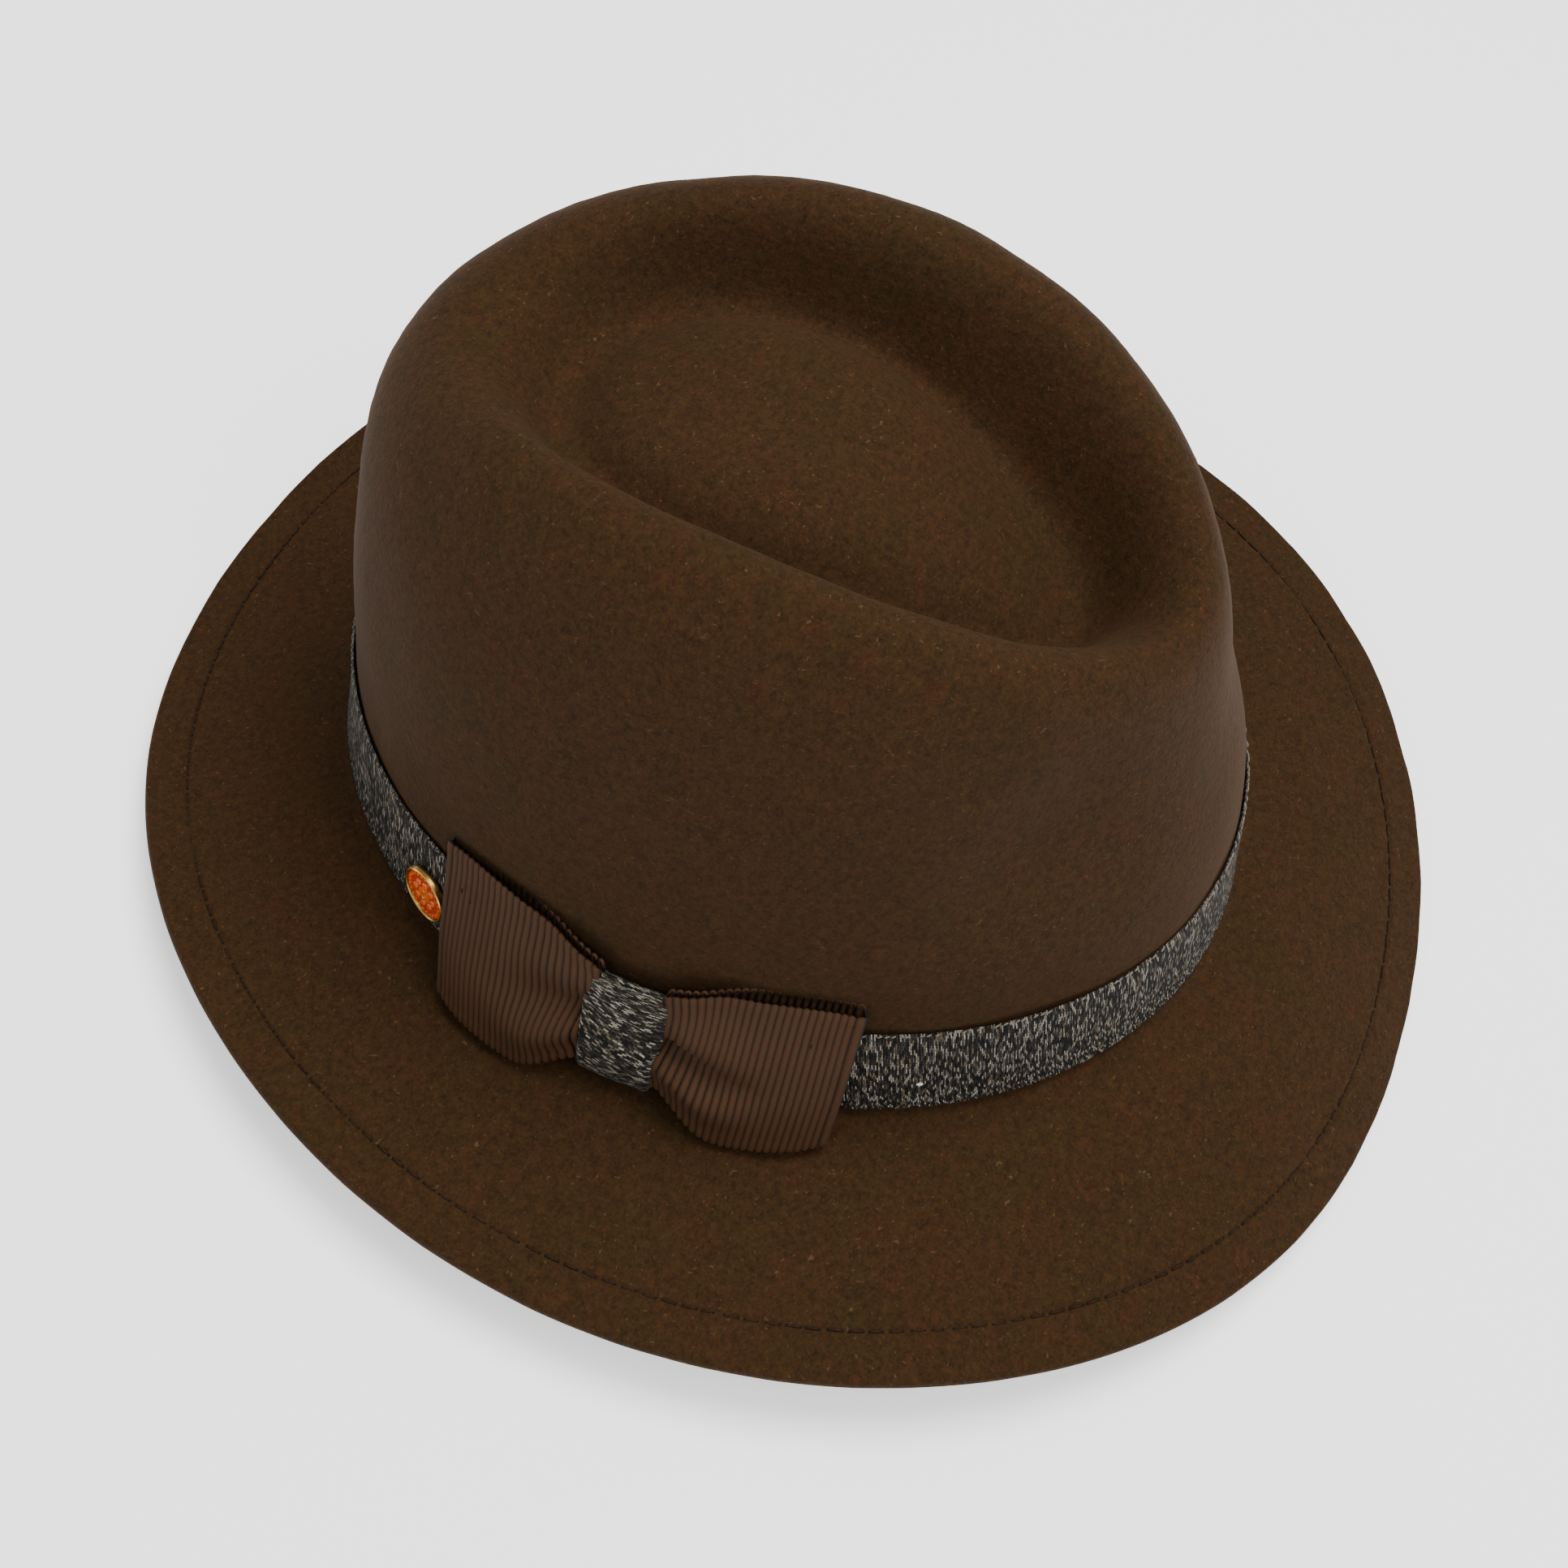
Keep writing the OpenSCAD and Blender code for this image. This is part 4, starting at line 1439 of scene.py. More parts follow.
class Bow(Part):
    """Flat bow of ribbed ribbon, two open loops drawn together by the knot."""

    sizes = BowSizes()

    @staticmethod
    def _ease(x: Array) -> Array:
        """Smooth step from 0 to 1."""
        f = np.clip(x, 0, 1)
        return f * f * (3 - 2 * f)

    def neck(self, s: Array) -> Array:
        """How strongly the knot draws the ribbon together at s, 0 to 1."""
        return 1 - self._ease((np.abs(s) - 0.2) / 0.22)

    def outward(self, s: Array) -> Array:
        """Direction away from the crown at s."""
        return self.form.outward(np.radians(self.sizes.at - self.sizes.half_angle * s))

    def base(self, s: Array, w: Array) -> Array:
        """Middle surface of the bow; s runs along it, w from its foot to its top edge.

        Args:
            s: Place along the bow, -1 to 1.
            w: Place across the piece, 0 to 1.

        Returns:
            Points, one row for each place.
        """
        size = self.sizes
        n = self.neck(s)
        low = 0.17 * (1 - self._ease((np.abs(s) - 0.2) / 0.32))
        high = 0.13 - 0.11 * self._ease((np.abs(s) - 0.11) / 0.06)
        high = high * (1 - self._ease((np.abs(s) - 0.3) / 0.4))
        k = low + w * (1 - low - high)
        upper = np.where(s > 0, size.badge_side[0], size.front_side[0])
        lower = np.where(s > 0, size.badge_side[1], size.front_side[1])
        t = np.radians(size.at - s * (lower + (upper - lower) * k))
        foot = n * size.pull[0] + (1 - n) * (size.low[1] + size.low[2] * s * s)
        top = n * size.pull[1] + (1 - n) * (size.top[1] + size.top[2] * s * s)
        foot = foot - 1.2 * (1 - n) * s * s * (s < 0)
        rise = np.where(s > 0, size.rise[0], size.rise[1])
        h = size.low[0] + (size.top[0] - size.low[0]) * k
        h = h + (size.lift * (1 - k) + rise * k * k) * s**4
        form = self.form
        point = np.stack([form.half_width * np.cos(t), form.half_length * np.sin(t), h], -1)
        return point + self.form.outward(t) * (foot + (top - foot) * k)[..., None]

    def puff(self, s: Array) -> Array:
        """How far the loop opens at s, in millimetres."""
        return 2.6 * np.maximum(0, 1 - (np.abs(np.abs(s) - 0.61) / 0.4) ** 2.2) ** 0.6

    def _folds(self, s: Array, w: Array, side: float) -> Array:
        """Creases that run from the knot into a lobe, in millimetres.

        Args:
            s: Distance from the middle, 0 to 1.
            w: Place across the ribbon.
            side: 1 for the lobe beside the badge, -1 for the other.

        Returns:
            Push along the outward direction.
        """
        fade = self._ease((s - 0.12) / 0.1) * (1 - self._ease((s - 0.34) / 0.4))
        if side > 0:
            line = 0.58 - 0.10 * s
            valley = -1.7 * np.exp(-(((w - line) / 0.13) ** 2))
            ridge = 1.0 * np.exp(-(((w - line - 0.24) / 0.12) ** 2))
            ridge = ridge + 1.5 * np.exp(-(((w - line + 0.28) / 0.15) ** 2))
        else:
            line = 0.56 - 0.16 * s
            valley = -3.0 * np.exp(-(((w - line) / 0.09) ** 2))
            ridge = 1.5 * np.exp(-(((w - line - 0.19) / 0.12) ** 2))
            ridge = ridge + 1.7 * np.exp(-(((w - line + 0.21) / 0.13) ** 2))
        return (valley + ridge) * fade

    def lobe_surface(self, side: float) -> SurfaceRule:
        """Rule for one loop: out along its front, round its end and back behind.

        Args:
            side: 1 for the lobe beside the badge, -1 for the other.

        Returns:
            The rule for u along the loop and w across the ribbon.
        """
        size = self.sizes
        span = size.ribs * size.rib_pitch

        def rule(u: Array, w: Array) -> Array:
            """Points for places u and w of the grid."""
            path = u * 2.0
            s = np.where(path <= 1, path, 2 - path)
            s = 0.08 + 0.92 * s
            front = np.clip((1.02 - path) / 0.04, 0, 1)
            front = front * front * (3 - 2 * front)
            shut = 1 - 0.9 * self._ease((w - 0.35) / 0.6)
            top_edge = self._ease((w - 0.6) / 0.4)
            ahead = size.ribbon * (0.9 + 0.1 * shut) + 1.1 * self.puff(s) * shut
            ahead = ahead + self._folds(s, w, side)
            behind = -(size.ribbon * 0.2 + 0.14 * self.puff(s)) * (1 - 0.9 * top_edge)
            offset = front * ahead + (1 - front) * behind
            bulge = 0.016 * np.exp(-(((path - 1) / 0.025) ** 2))
            rib = np.abs(np.sin(math.pi * path * span / size.rib_pitch))
            near = np.minimum(w, 1 - w)
            edge = self._ease((0.035 - near) / 0.02)
            bead = np.clip(1 - ((near - 0.014) / 0.016) ** 2, 0, 1) ** 0.5
            cord = size.rib_height * (rib**0.75) * (1 - 0.45 * edge) + size.bead_height * bead * rib
            scallop = size.scallop * rib * self._ease((0.05 - near) / 0.05)
            arch = np.sin(math.pi * np.clip((s - 0.1) / 0.9, 0, 1)) ** 0.6
            arch = arch * self._ease((w - 0.45) / 0.55)
            arch = arch * (1 + 0.35 * front * self._ease((0.6 - s) / 0.3))
            where = w + np.where(w > 0.5, 1, -1) * scallop + size.arch * arch
            where = where + (1 - front) * w * (size.back_edge * self._ease((s - 0.3) / 0.3) - 0.01)
            lean = 0.05 * side * np.sin(2 * math.pi * w) * self._ease((0.55 - s) / 0.35)
            at = side * (s + bulge + lean * 0.5 * (s > 0.12))
            base = self.base(at, where)
            away = self.outward(at)
            sign = np.where(path <= 1, 1.0, -1.0)
            return self.seat.place(base + away * (offset + sign * cord)[..., None])

        return rule

    def _rib_shade_attribute(self, lobe: bpy.types.Object) -> None:
        """Store how high each point lies on its rib, for the painted shade in the ribbon's rib
        valleys.

        Args:
            lobe: The open grid of one lobe, before it is thickened.
        """
        uv = lobe.data.uv_layers.active.data
        loops = np.empty(len(uv) * 2)
        uv.foreach_get("uv", loops)
        index = np.empty(len(lobe.data.loops), dtype=int)
        lobe.data.loops.foreach_get("vertex_index", index)
        along = np.zeros(len(lobe.data.vertices))
        along[index] = loops.reshape(-1, 2)[:, 0]
        value = np.abs(np.sin(math.pi * along * 2.0 * self.sizes.ribs)) ** 1.2
        layer = lobe.data.attributes.new("rib", "FLOAT", "POINT")
        layer.data.foreach_set("value", value)

    def build(self) -> None:
        """Build the two lobes, their tacks and the knot."""
        size = self.sizes
        lobes = []
        for side, name in ((1.0, "bow_lobe_badge_side"), (-1.0, "bow_lobe_front_side")):
            columns = size.ribs * 2 * size.columns_per_rib
            lobe = Workshop.sheet_grid(name, columns, size.rows, self.lobe_surface(side), False)
            self._rib_shade_attribute(lobe)
            Workshop.thicken(lobe, size.cloth * MM, 1.0 if side < 0 else -1.0)
            Workshop.face_outwards(lobe)
            Workshop.smooth(lobe, 70)
            self.finish_piece(lobe, Slot.RIBBON, *(["bow_ribbon"] if side > 0 else []))
            lobes.append(lobe)
        self._tacks()
        self._knot()

    def _tacks(self) -> None:
        """Short threads that hold the top corners of the bow."""
        places = []
        for s in (-0.86, -0.8, 0.8, 0.86):
            at = np.array([s, s])
            front = self.sizes.ribbon + 0.9 * self.puff(at) + 0.75
            pair = self.base(at, np.array([0.9, 0.95])) + self.outward(at) * front[:, None]
            a, b = self.seat.place(pair)
            up = self.seat.direct(self.outward(at))[0]
            places.append(frame_matrix((a + b) / 2, b - a, up, (1.5 * MM, 0.45 * MM, 0.4 * MM)))
        tacks = Workshop.repeat(Workshop.thread_bead(), places, "bow_tack_threads")
        self.finish_piece(tacks, Slot.THREAD, "bow_tacks")

    def knot_surface(self, u: Array, w: Array) -> Array:
        """Points of the knot; u runs round the wrap, w along its width.

        Args:
            u: Place around or along the piece, 0 to 1.
            w: Place across the piece, 0 to 1.

        Returns:
            Points, one row for each place.
        """
        size = self.sizes
        zero = np.zeros(1)
        mid = self.base(zero, zero + 0.5)[0]
        rise = self.base(zero, zero + 1.0)[0] - self.base(zero, zero)[0]
        rise /= np.linalg.norm(rise)
        out = self.outward(zero)[0]
        across = np.cross(rise, [0.0, 1.0, 0.0])
        across /= np.linalg.norm(across)
        if across @ out < 0:
            across = -across
        a = u * 2 * math.pi
        c, z = np.cos(a), np.sin(a)
        x = np.sign(c) * np.abs(c) ** 0.6
        z = np.sign(z) * np.abs(z) ** 0.75
        e = 2 * w - 1
        crease = 0.35 * np.sin(3.2 * e + 1.1 * z + 0.6) * (x > 0) + 0.2 * np.sin(7 * e - 2 * z)
        roll = np.maximum(0, np.abs(e) - 0.86) / 0.14
        thick = size.knot_thick - 0.45 * e**2 - 0.9 * roll**2 + crease * 0.55 * (1 - roll)
        tall = size.knot_half_tall - 0.5 * roll**2
        y = e * size.knot_width / 2 * (1 + 0.05 * z) + 0.7 - 1.0 * z * 0.4
        point = (
            mid + out * 0.5 + np.stack([y * y / 232, y, 0 * y], -1)
            + across * (x * thick)[..., None] + rise * (z * tall)[..., None]
        )
        return self.seat.place(point)

    def _knot(self) -> None:
        """Build the strip of melange cloth that is wrapped round the waist of the bow."""
        knot = Workshop.sheet_grid("bow_knot_wrap", 96, 40, self.knot_surface)
        Workshop.face_outwards(knot)
        Workshop.thicken(knot, self.sizes.knot_wall * MM, -1.0)
        Workshop.face_outwards(knot)
        Workshop.smooth(knot, 60)
        self.finish_piece(knot, Slot.KNOT, "bow_knot")


class Badge(Part):
    """The turning badge: its CAD parts are right, so they only get their finishes."""

    finishes = (
        ("badge_cup", Slot.GILT),
        ("badge_studs", Slot.GILT),
        ("badge_post", Slot.GILT),
        ("badge_enamel", Slot.ENAMEL),
        ("badge_clutch", Slot.STEEL),
    )

    def build(self, nodes: dict[str, bpy.types.Object]) -> None:
        """Assign the finishes to the badge's CAD nodes.

        Args:
            nodes: The frame's nodes by name.
        """
        for name, slot in self.finishes:
            node = nodes[name]
            node.data.materials.clear()
            node.data.materials.append(self.wardrobe.get(slot.value))
            LOG.info("%s: %s", name, slot.value)


@dataclass(frozen=True)
class SweatbandSizes:
    """Sizes of the sweatband set, in millimetres and degrees."""

    inset: float = 3.8
    leather: float = 0.9
    foot: float = 1.9
    top: float = 33.0
    reed_height: float = 0.2
    reed_inset: float = 4.9
    reed_radius: float = 0.9
    tape_radius: float = 1.4
    stitches: int = 150
    label: tuple[float, float] = (116.0, 101.0)
    label_heights: tuple[float, float] = (13.0, 25.0)


class Sweatband(Part):
    """Leather band inside the opening, with its reed, tape, stitches, bow and label."""

    sizes = SweatbandSizes()

    def leather_surface(self, u: Array, w: Array) -> Array:
        """Points of the leather; u runs around, w round its flat section.

        Args:
            u: Place around or along the piece, 0 to 1.
            w: Place across the piece, 0 to 1.

        Returns:
            Points, one row for each place.
        """
        size, form = self.sizes, self.form
        insets = (size.inset + size.leather, size.inset)
        z, depth = self.section(w, (size.foot, size.top), insets, 0.03)
        angle = u * 2 * math.pi
        point = form.oval(angle, z, depth)
        ripple = wobble(point, 34.0, 33) * 0.22 * np.sin(math.pi * np.minimum(2 * w, 1))
        return self.seat.place(point - form.outward(angle) * ripple[..., None])

    def hoop_rule(
        self, height: float, inset: float, radius: float, weave: float = 0.0
    ) -> SurfaceRule:
        """Rule for a round hoop that follows the opening.

        Args:
            height: Height of its middle above the break.
            inset: Inset of its middle from the oval.
            radius: Its radius.
            weave: Depth of the small waves along it.

        Returns:
            The rule for u around the hat and w around the hoop.
        """

        def rule(u: Array, w: Array) -> Array:
            """Points for places u and w of the grid."""
            angle, a = u * 2 * math.pi, w * 2 * math.pi
            r = radius + weave * np.sin(angle * 260 + a)
            point = self.form.oval(angle, height, inset)
            point = point + self.form.outward(angle) * (r * np.cos(a))[..., None]
            point[..., 2] += r * np.sin(a)
            return self.seat.place(point)

        return rule

    def build(self) -> None:
        """Build every piece of the sweatband set."""
        size = self.sizes
        leather = self.ring("sweatband_leather_band", 240, 40, self.leather_surface)
        self.finish_piece(leather, Slot.LEATHER, "sweatband")
        hoop = self.hoop_rule(size.reed_height, size.reed_inset, size.reed_radius)
        reed = self.ring("reed_hoop", 200, 12, hoop)
        self.finish_piece(reed, Slot.REED, "sweatband_reed")
        tape = self.ring(
            "reed_tape_wrap", 400, 20,
            self.hoop_rule(size.reed_height, size.reed_inset, size.tape_radius, 0.05),
        )
        self.finish_piece(tape, Slot.TAPE, "reed_tape")
        self._stitches()
        self._bow()
        self._label()

    def _stitches(self) -> None:
        """Stitches along the foot of the leather."""
        size, form = self.sizes, self.form
        places = []
        for k in range(size.stitches):
            a = 2 * math.pi * k / size.stitches
            ends = np.array([a, a + 0.6 * 2 * math.pi / size.stitches])
            depth = size.inset + size.leather + 0.25
            start, stop = self.seat.place(form.oval(ends, 3.6, depth))
            up = self.seat.direct(-form.outward(ends))[0]
            length = float(np.linalg.norm(stop - start))
            size_of = (length, 0.5 * MM, 0.5 * MM)
            places.append(frame_matrix((start + stop) / 2, stop - start, up, size_of))
        line = Workshop.repeat(Workshop.thread_bead(), places, "sweatband_stitch_line")
        self.finish_piece(line, Slot.PALE_THREAD, "sweatband_stitches")

    def bow_surface(self, side: float) -> SurfaceRule:
        """Rule for one loop of the small bow at the back of the sweatband.

        Args:
            side: 1 for one loop, -1 for the other.

        Returns:
            The rule for u and w.
        """
        middle = self.form.half_length - self.sizes.inset - self.sizes.leather - 3.1

        def rule(u: Array, w: Array) -> Array:
            """Points for places u and w of the grid."""
            path = 2 * u
            s = np.where(path <= 1, path, 2 - path)
            open_by = 0.9 * np.sin(math.pi * np.clip(s, 0, 1)) + 0.25
            layer = np.clip((1.04 - path) / 0.08, 0, 1)
            wide = 2.2 + 2.4 * np.clip(s / 0.8, 0, 1) ** 0.7
            x = side * (0.4 + 9.0 * s)
            z = 8.0 + (w - 0.5) * wide * 1.7 - 0.5 * s
            y = middle - 0.4 - open_by * layer + 0.15 * np.sin(9 * w)
            return self.seat.place(np.stack([x, y, z], -1))

        return rule

    def _bow(self) -> None:
        """Build the small bow over the join of the leather: two loops and a knot."""
        loops = []
        for side, name in ((1.0, "back_bow_left"), (-1.0, "back_bow_right")):
            loop = Workshop.sheet_grid(name, 48, 12, self.bow_surface(side), False)
            Workshop.thicken(loop, 0.25 * MM, -1.0 if side > 0 else 1.0)
            Workshop.face_outwards(loop)
            Workshop.smooth(loop)
            self.finish_piece(loop, Slot.TAPE, *(["sweatband_bow"] if side > 0 else []))
            loops.append(loop)
        Workshop.clear_selection()
        bpy.ops.mesh.primitive_uv_sphere_add(segments=24, ring_count=16, radius=1.0)
        knot = bpy.context.object
        knot.name = knot.data.name = "back_bow_knot"
        bpy.ops.object.mode_set(mode="EDIT")
        bpy.ops.mesh.select_all(action="SELECT")
        bpy.ops.transform.resize(value=(1.2 * MM, 0.9 * MM, 2.3 * MM), center_override=(0, 0, 0))
        bpy.ops.object.mode_set(mode="OBJECT")
        y = self.form.half_length - self.sizes.inset - self.sizes.leather - 3.9
        place = self.seat.place(np.array([[0.0, y, 8.0]]))[0]
        knot.data.transform(Matrix.Translation(Vector(place)))
        Workshop.smooth(knot)
        self.finish_piece(knot, Slot.TAPE)

    def label_surface(self, u: Array, w: Array) -> Array:
        """Points of the blank label.

        Args:
            u: Place around or along the piece, 0 to 1.
            w: Place across the piece, 0 to 1.

        Returns:
            Points, one row for each place.
        """
        size = self.sizes
        angle = np.radians(size.label[0] + (size.label[1] - size.label[0]) * u)
        low, high = size.label_heights
        z = low + (high - low) * w
        depth = size.inset + size.leather + 0.3 + 0.12 * np.sin(9 * u + 4 * w)
        return self.seat.place(self.form.oval(angle, z, depth))

    def _label(self) -> None:
        """Build the blank woven label."""
        label = Workshop.sheet_grid("blank_label", 40, 20, self.label_surface, False)
        Workshop.thicken(label, 0.35 * MM, 0.0)
        Workshop.face_outwards(label)
        Workshop.smooth(label)
        self.finish_piece(label, Slot.LABEL, "size_label")


@dataclass(frozen=True)
class LiningRing:
    """One ring of the lining: insets, taper and heights."""

    side: float
    front: float
    back: float
    taper: float
    heights: Triple

    def grow(self, inset: float) -> "LiningRing":
        """The same ring moved further in."""
        return LiningRing(
            self.side + inset, self.front + inset, self.back + inset, self.taper, self.heights
        )


@dataclass(frozen=True)
class LiningSizes:
    """Sizes of the lining, in millimetres."""

    cloth: float = 0.4
    tip_top: float = 88.0
    piping_inset: float = 1.7
    piping_radius: float = 0.8
    tip_inset: float = 3.0
    gathers: int = 44
    rings: tuple[LiningRing, ...] = (
        LiningRing(6.5, 6.5, 6.0, 0.00, (27, 27, 27)),
        LiningRing(7.5, 7.75, 7.0, 0.00, (33.8, 34.8, 32.4)),
        LiningRing(12.0, 15.0, 10.0, 0.03, (44, 52, 50)),
        LiningRing(18.0, 23.0, 14.0, 0.08, (52, 68, 66)),
        LiningRing(26.0, 30.0, 20.0, 0.12, (59, 80, 78)),
        LiningRing(36.0, 38.0, 30.0, 0.12, (63, 86, 84)),
    )


class Lining(Part):
    """Satin lining: gathered side wall, oval tip and the piping between them."""

    sizes = LiningSizes()

    def ring_point(self, angle: Array, ring: LiningRing) -> Array:
        """Points on one ring of the lining.

        Args:
            angle: Angle round the hat, in radians.
            ring: The lining ring.

        Returns:
            Points, one row for each place.
        """
        form = self.form
        x = form.half_width - ring.side
        front, back = form.half_length - ring.front, form.half_length - ring.back
        z = form.around(angle, ring.heights)
        ease = np.clip((z - 33) / 12, 0, 1)
        push = form._pinch(angle, 9 + 0 * z, z) * ease * ease * (3 - 2 * ease)
        return np.stack(
            [
                x * np.cos(angle) * (1 + ring.taper * np.sin(angle)) - push * np.cos(angle),
                (back - front) / 2 + (back + front) / 2 * np.sin(angle) - push * np.sin(angle),
                z,
            ],
            -1,
        )

    def wall_surface(self, u: Array, w: Array) -> Array:
        """Points of the side wall, gathered towards the tip.

        Args:
            u: Place around or along the piece, 0 to 1.
            w: Place across the piece, 0 to 1.

        Returns:
            Points, one row for each place.
        """
        rings = self.sizes.rings
        angle = u * 2 * math.pi
        place = w * (len(rings) - 1)
        low = np.minimum(place.astype(int), len(rings) - 2)
        f = place - low
        layers = np.stack([self.ring_point(angle, r) for r in rings])
        n = np.arange(len(u))
        point = layers[low, n] * (1 - f)[:, None] + layers[low + 1, n] * f[:, None]
        fold = np.sin(angle * self.sizes.gathers + 1.5 * np.sin(angle * 3)) * 0.45 * w**1.5
        sway = wobble(point, 22.0, 41) * 0.5 * np.sin(math.pi * w)
        inwards = -(fold + np.abs(sway) + 0.45 * w)
        return self.seat.place(point + self.form.outward(angle) * inwards[:, None])

    def tip_surface(self, u: Array, w: Array) -> Array:
        """Points of the tip; w runs from its edge to its middle.

        Args:
            u: Place around or along the piece, 0 to 1.
            w: Place across the piece, 0 to 1.

        Returns:
            Points, one row for each place.
        """
        angle = u * 2 * math.pi
        edge = self.ring_point(angle, self.sizes.rings[-1].grow(self.sizes.tip_inset))
        f = 1 - w
        z = edge[:, 2] + (self.sizes.tip_top - edge[:, 2]) * w**1.5
        soft = wobble(edge * f[:, None] + 7.0, 25.0, 51) * 0.5 * f * w * 3
        return self.seat.place(np.stack([edge[:, 0] * f, edge[:, 1] * f, z - np.abs(soft)], -1))

    def piping_surface(self, u: Array, w: Array) -> Array:
        """Points of the piping: a cord with a slight twist.

        Args:
            u: Place around or along the piece, 0 to 1.
            w: Place across the piece, 0 to 1.

        Returns:
            Points, one row for each place.
        """
        angle, a = u * 2 * math.pi, w * 2 * math.pi
        size = self.sizes
        r = size.piping_radius + 0.06 * np.sin(angle * 150 + 2 * a)
        point = self.ring_point(angle, size.rings[-1].grow(size.piping_inset))
        point = point + self.form.outward(angle) * (r * np.cos(a))[:, None]
        point[:, 2] += r * np.sin(a)
        return self.seat.place(point)

    def build(self) -> None:
        """Build the wall, the tip and the piping."""
        wall = Workshop.sheet_grid("lining_wall", 400, 44, self.wall_surface)
        Workshop.thicken(wall, self.sizes.cloth * MM, 0.0)
        Workshop.face_outwards(wall)
        Workshop.smooth(wall, 60)
        self.finish_piece(wall, Slot.LINING, "lining_side")
        tip = Workshop.sheet_grid("lining_crown", 160, 32, self.tip_surface)
        Workshop.thicken(tip, self.sizes.cloth * MM, 0.0)
        Workshop.face_outwards(tip)
        Workshop.smooth(tip, 60)
        self.finish_piece(tip, Slot.LINING, "lining_tip")
        piping = self.ring("lining_piping_cord", 500, 10, self.piping_surface)
        self.finish_piece(piping, Slot.PIPING, "lining_piping")


# ---------------------------------------------------------------- materials and studio


@dataclass(frozen=True)
class ClothFinish(Finish):
    """Plain woven tape or label with fine crossing threads."""

    name: str = "woven_tape"
    base: tuple = srgb(46, 40, 36)
    scale: float = 1500.0

    def build(self) -> bpy.types.Material:
        """Build the cloth from two crossing thread patterns.

        Returns:
            The material.
        """
        material, n, shader = self.start()
        v = n.add("TexCoord").outputs["Object"]
        first = n.noise(n.stretch(v, (1.0, 1.0, 0.1)), self.scale, 1.0)
        second = n.noise(n.stretch(v, (0.1, 0.1, 1.0)), self.scale, 1.0)
        weave = n.math("MAXIMUM", first, second)
        deep = tuple(c * 0.8 for c in self.base[:3]) + (1.0,)
        n.put(shader, "Base Color", n.mix(n.ramp(weave, 0.42, 0.72), deep, self.base))
        n.put(shader, "Roughness", n.math("SUBTRACT", 0.95, n.math("MULTIPLY", weave, 0.25)))
        n.put(shader, "Normal", self.bump(n, weave, 0.5, 0.0001))
        return material


@dataclass(frozen=True)
class PlasticFinish(Finish):
    """Pale plastic of the reed."""

    name: str = "reed_plastic"
    base: tuple = srgb(214, 208, 196)

    def build(self) -> bpy.types.Material:
        """Build the plastic with slow shade changes.

        Returns:
            The material.
        """
        material, n, shader = self.start()
        haze = n.noise(n.add("TexCoord").outputs["Object"], 120.0, 3.0)
        deep = tuple(c * 0.8 for c in self.base[:3]) + (1.0,)
        n.put(shader, "Base Color", n.mix(n.ramp(haze, 0.3, 0.7), deep, self.base))
        n.put(shader, "Roughness", n.math("ADD", n.math("MULTIPLY", haze, 0.2), 0.35))
        return material


@dataclass
class Wardrobe:
    """Every finish of the hat, built on first use."""

    finishes: dict[str, Finish] = field(
        default_factory=lambda: {
            Slot.FELT.value: FeltFinish(),
            # The near-black colour of the needle-hole dots is painted shade.
            "needle_hole_shade": ThreadFinish("needle_hole_shade", srgb(24, 15, 9)),
            Slot.THREAD.value: ThreadFinish(),
            Slot.BAND.value: MelangeFinish(size_mm=(580.0, 27.0), pitch=0.32, length=0.8),
            "band_pick": ThreadFinish("band_pick", srgb(128, 120, 108)),
            Slot.PALE_THREAD.value: ThreadFinish("pale_thread", srgb(226, 220, 208)),
            Slot.RIBBON.value: RibbonFinish(),
            Slot.KNOT.value: MelangeFinish(
                "knot_melange", size_mm=(70.0, 17.0), slant=1.72, dark=srgb(20, 18, 16),
                mid=srgb(54, 50, 46), light=srgb(158, 152, 136), warm=srgb(92, 82, 66), fleck=0.95,
            ),
            Slot.GILT.value: MetalFinish(),
            Slot.ENAMEL.value: EnamelFinish(),
            Slot.STEEL.value: MetalFinish(
                "steel", srgb(176, 174, 170), srgb(118, 114, 108), 0.32
            ),
            Slot.LEATHER.value: LeatherFinish(),
            Slot.REED.value: PlasticFinish(),
            Slot.TAPE.value: ClothFinish(),
            Slot.LABEL.value: ClothFinish("label_cloth", srgb(226, 218, 202), 3200.0),
            Slot.LINING.value: SatinFinish(),
            Slot.PIPING.value: SatinFinish("piping", srgb(150, 104, 60), srgb(104, 68, 38)),
        }
    )
    made: dict[str, bpy.types.Material] = field(default_factory=dict)

    def get(self, name: str) -> bpy.types.Material:
        """Return a material by the name of its finish."""
        if name not in self.made:
            self.made[name] = self.finishes[name].build()
        return self.made[name]


@dataclass(frozen=True)
class CameraSizes:
    """Main camera, about the blocked shape, in degrees and millimetres."""

    azimuth: float = -75.326
    elevation: float = 56.5
    roll: float = 8.772
    distance: float = 483.911
    slide: tuple[float, float] = (-2.019, -7.793)
    lens: float = 49.47


@dataclass(frozen=True)
class Lamp:
    """One soft lamp: place and aim as directions, size in metres and strength."""

    name: str
    azimuth: float
    elevation: float
    distance: float
    size: float
    power: float
    warmth: Triple = (1.0, 1.0, 1.0)


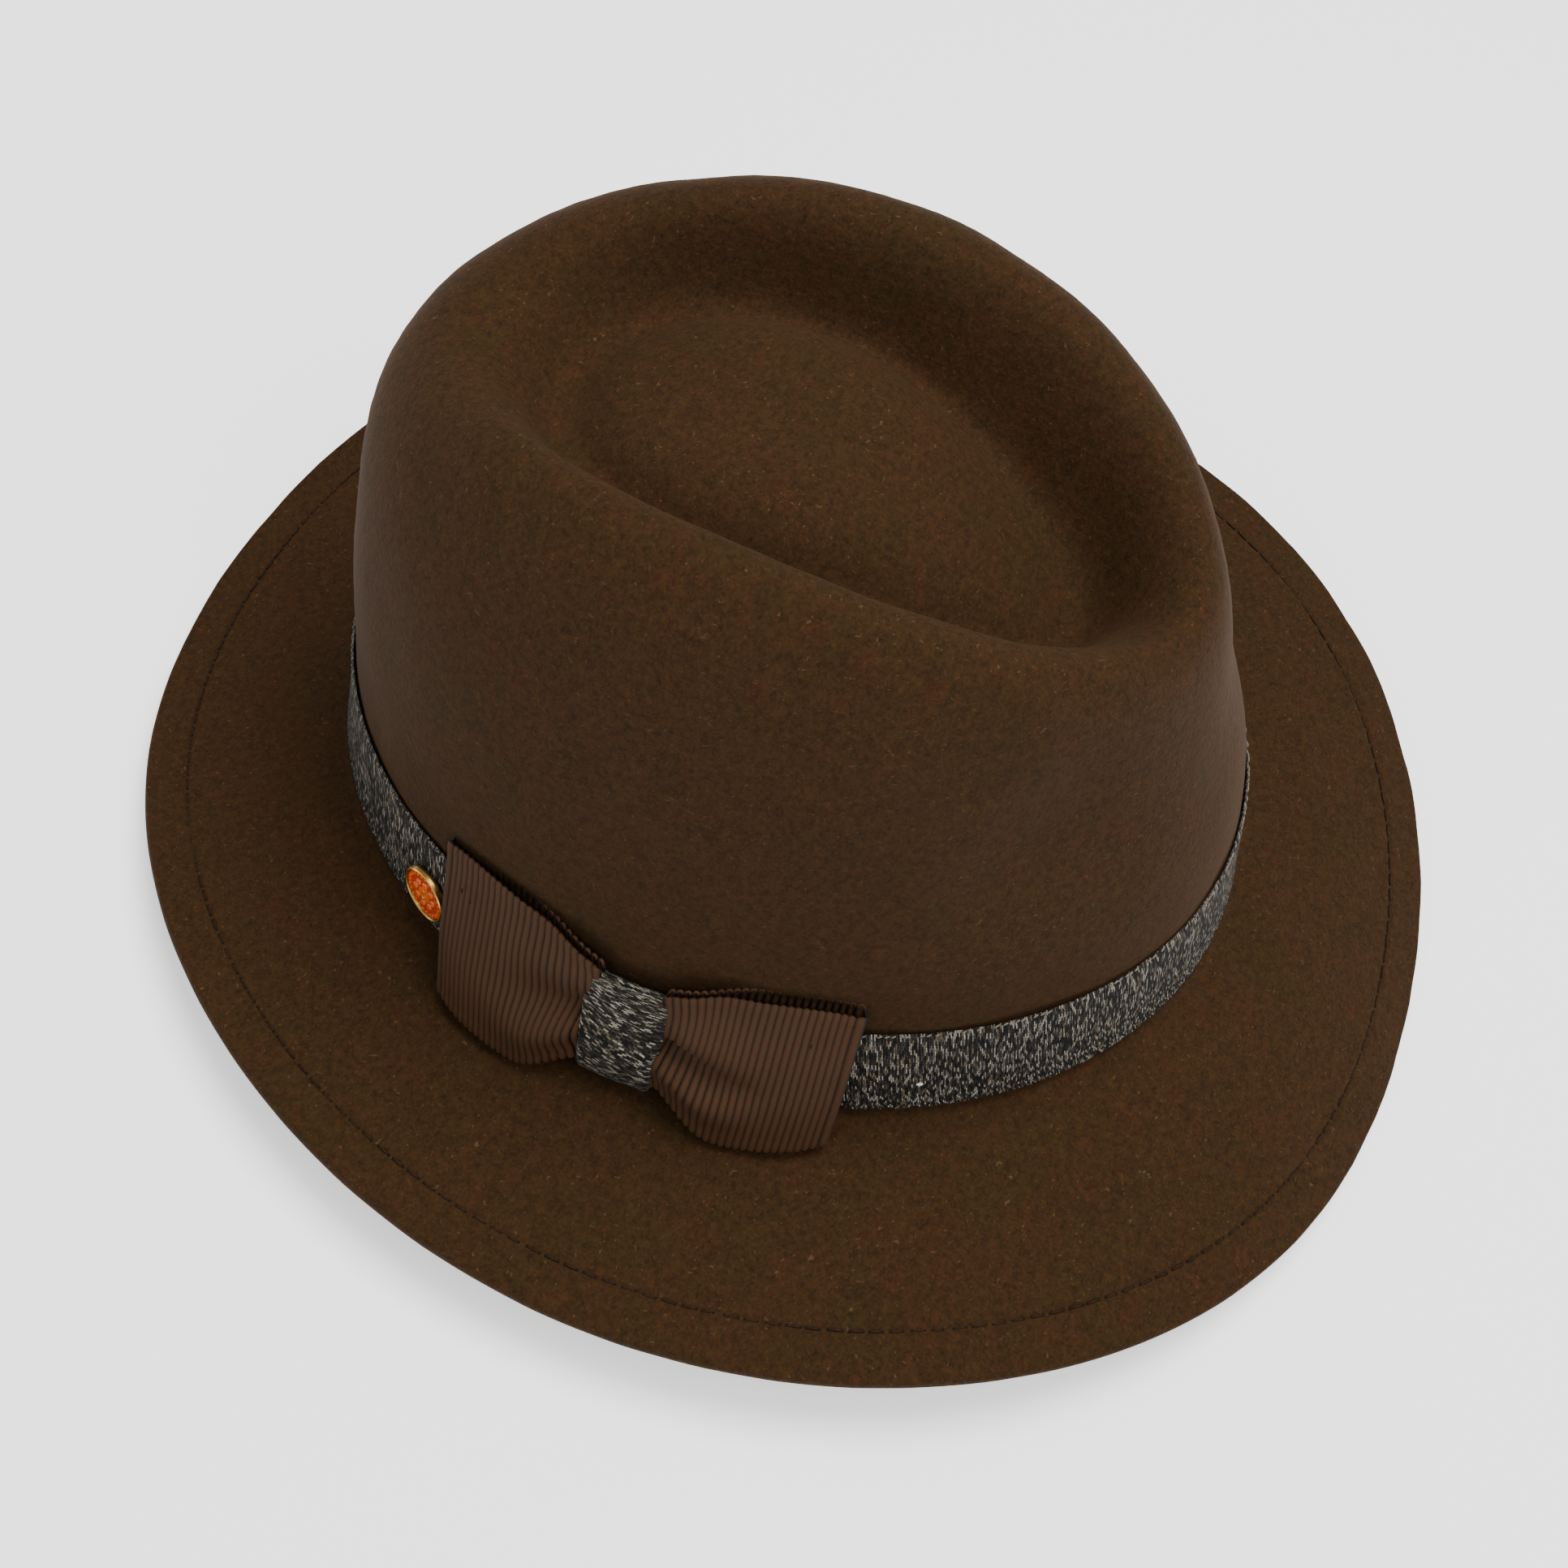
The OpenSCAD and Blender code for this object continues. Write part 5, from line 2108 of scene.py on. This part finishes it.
class Studio:
    """Pale floor, soft lamps and the camera."""

    camera = CameraSizes()
    lamps = (
        Lamp("key_lamp", 60.0, 78.0, 1.3, 0.8, 25.0, (1.0, 0.99, 0.97)),
        Lamp("front_lamp", -30.0, 52.0, 1.3, 0.7, 6.0),
        Lamp("side_lamp", -120.0, 42.0, 1.3, 0.7, 3.0),
    )

    def __init__(self, seat: Seat) -> None:
        """Keep the seat, which places the camera with the hat."""
        self.seat = seat

    def _aim(self, thing: bpy.types.Object, lamp: Lamp) -> None:
        """Place a lamp round the middle of the hat and turn it there.

        Args:
            thing: The lamp object.
            lamp: Its place and power.
        """
        a, e = math.radians(lamp.azimuth), math.radians(lamp.elevation)
        back = Vector((math.sin(a) * math.cos(e), -math.cos(a) * math.cos(e), math.sin(e)))
        thing.location = Vector((0, 0, 0.06)) + back * lamp.distance
        thing.rotation_mode = "QUATERNION"
        thing.rotation_quaternion = (-back).to_track_quat("-Z", "Y")

    def build(self) -> None:
        """Build the floor, the lamps, the world and the camera."""
        self._camera()
        Workshop.clear_selection()
        bpy.ops.mesh.primitive_plane_add(size=32)
        floor = bpy.context.object
        floor.name = "studio_floor"
        material = bpy.data.materials.new("studio_floor")
        material.use_nodes = True
        shader = material.node_tree.nodes["Principled BSDF"]
        shader.inputs["Base Color"].default_value = (0.97, 0.97, 0.97, 1)
        shader.inputs["Roughness"].default_value = 0.9
        shader.inputs["Emission Color"].default_value = (1.0, 1.0, 1.0, 1)
        shader.inputs["Emission Strength"].default_value = 0.7
        floor.data.materials.append(material)
        for lamp in self.lamps:
            data = bpy.data.lights.new(lamp.name, "AREA")
            data.shape = "DISK"
            data.size = lamp.size
            data.energy = lamp.power
            data.color = lamp.warmth
            thing = bpy.data.objects.new(lamp.name, data)
            bpy.context.collection.objects.link(thing)
            self._aim(thing, lamp)
        world = bpy.data.worlds.new("soft_room")
        bpy.context.scene.world = world
        world.use_nodes = True
        back = world.node_tree.nodes["Background"]
        back.inputs["Color"].default_value = (1.0, 1.0, 1.0, 1)
        back.inputs["Strength"].default_value = 0.48

    def _camera(self) -> None:
        """Build the camera from its angles about the blocked shape."""
        size = self.camera
        a, e, r = (math.radians(x) for x in (size.azimuth, size.elevation, size.roll))
        back = np.array([math.sin(a) * math.cos(e), -math.cos(a) * math.cos(e), math.sin(e)])
        right = np.array([math.cos(a), math.sin(a), 0.0])
        up = np.cross(back, right)
        rows = np.stack(
            [right * math.cos(r) + up * math.sin(r), -right * math.sin(r) + up * math.cos(r), back]
        )
        spot = rows.T @ np.array([*size.slide, size.distance])
        data = bpy.data.cameras.new("main_camera")
        data.lens = size.lens
        data.sensor_width = 36.0
        data.clip_start = 0.01
        thing = bpy.data.objects.new("main_camera", data)
        bpy.context.collection.objects.link(thing)
        turned = Matrix((self.seat.turn @ rows.T).tolist()).to_4x4()
        turned.translation = Vector(self.seat.place(spot[None])[0])
        thing.matrix_world = turned
        bpy.context.scene.camera = thing


def main() -> None:
    """Build the studio and every sub-assembly in order."""
    form, seat, wardrobe = HatForm(), Seat(), Wardrobe()
    Studio(seat).build()
    FeltBody(form, seat, wardrobe).build()
    HatBand(form, seat, wardrobe).build()
    Bow(form, seat, wardrobe).build()
    Badge(form, seat, wardrobe).build(frame["nodes"])
    Sweatband(form, seat, wardrobe).build()
    Lining(form, seat, wardrobe).build()


if __name__ == "__main__":
    logging.basicConfig(level=logging.INFO)
    main()
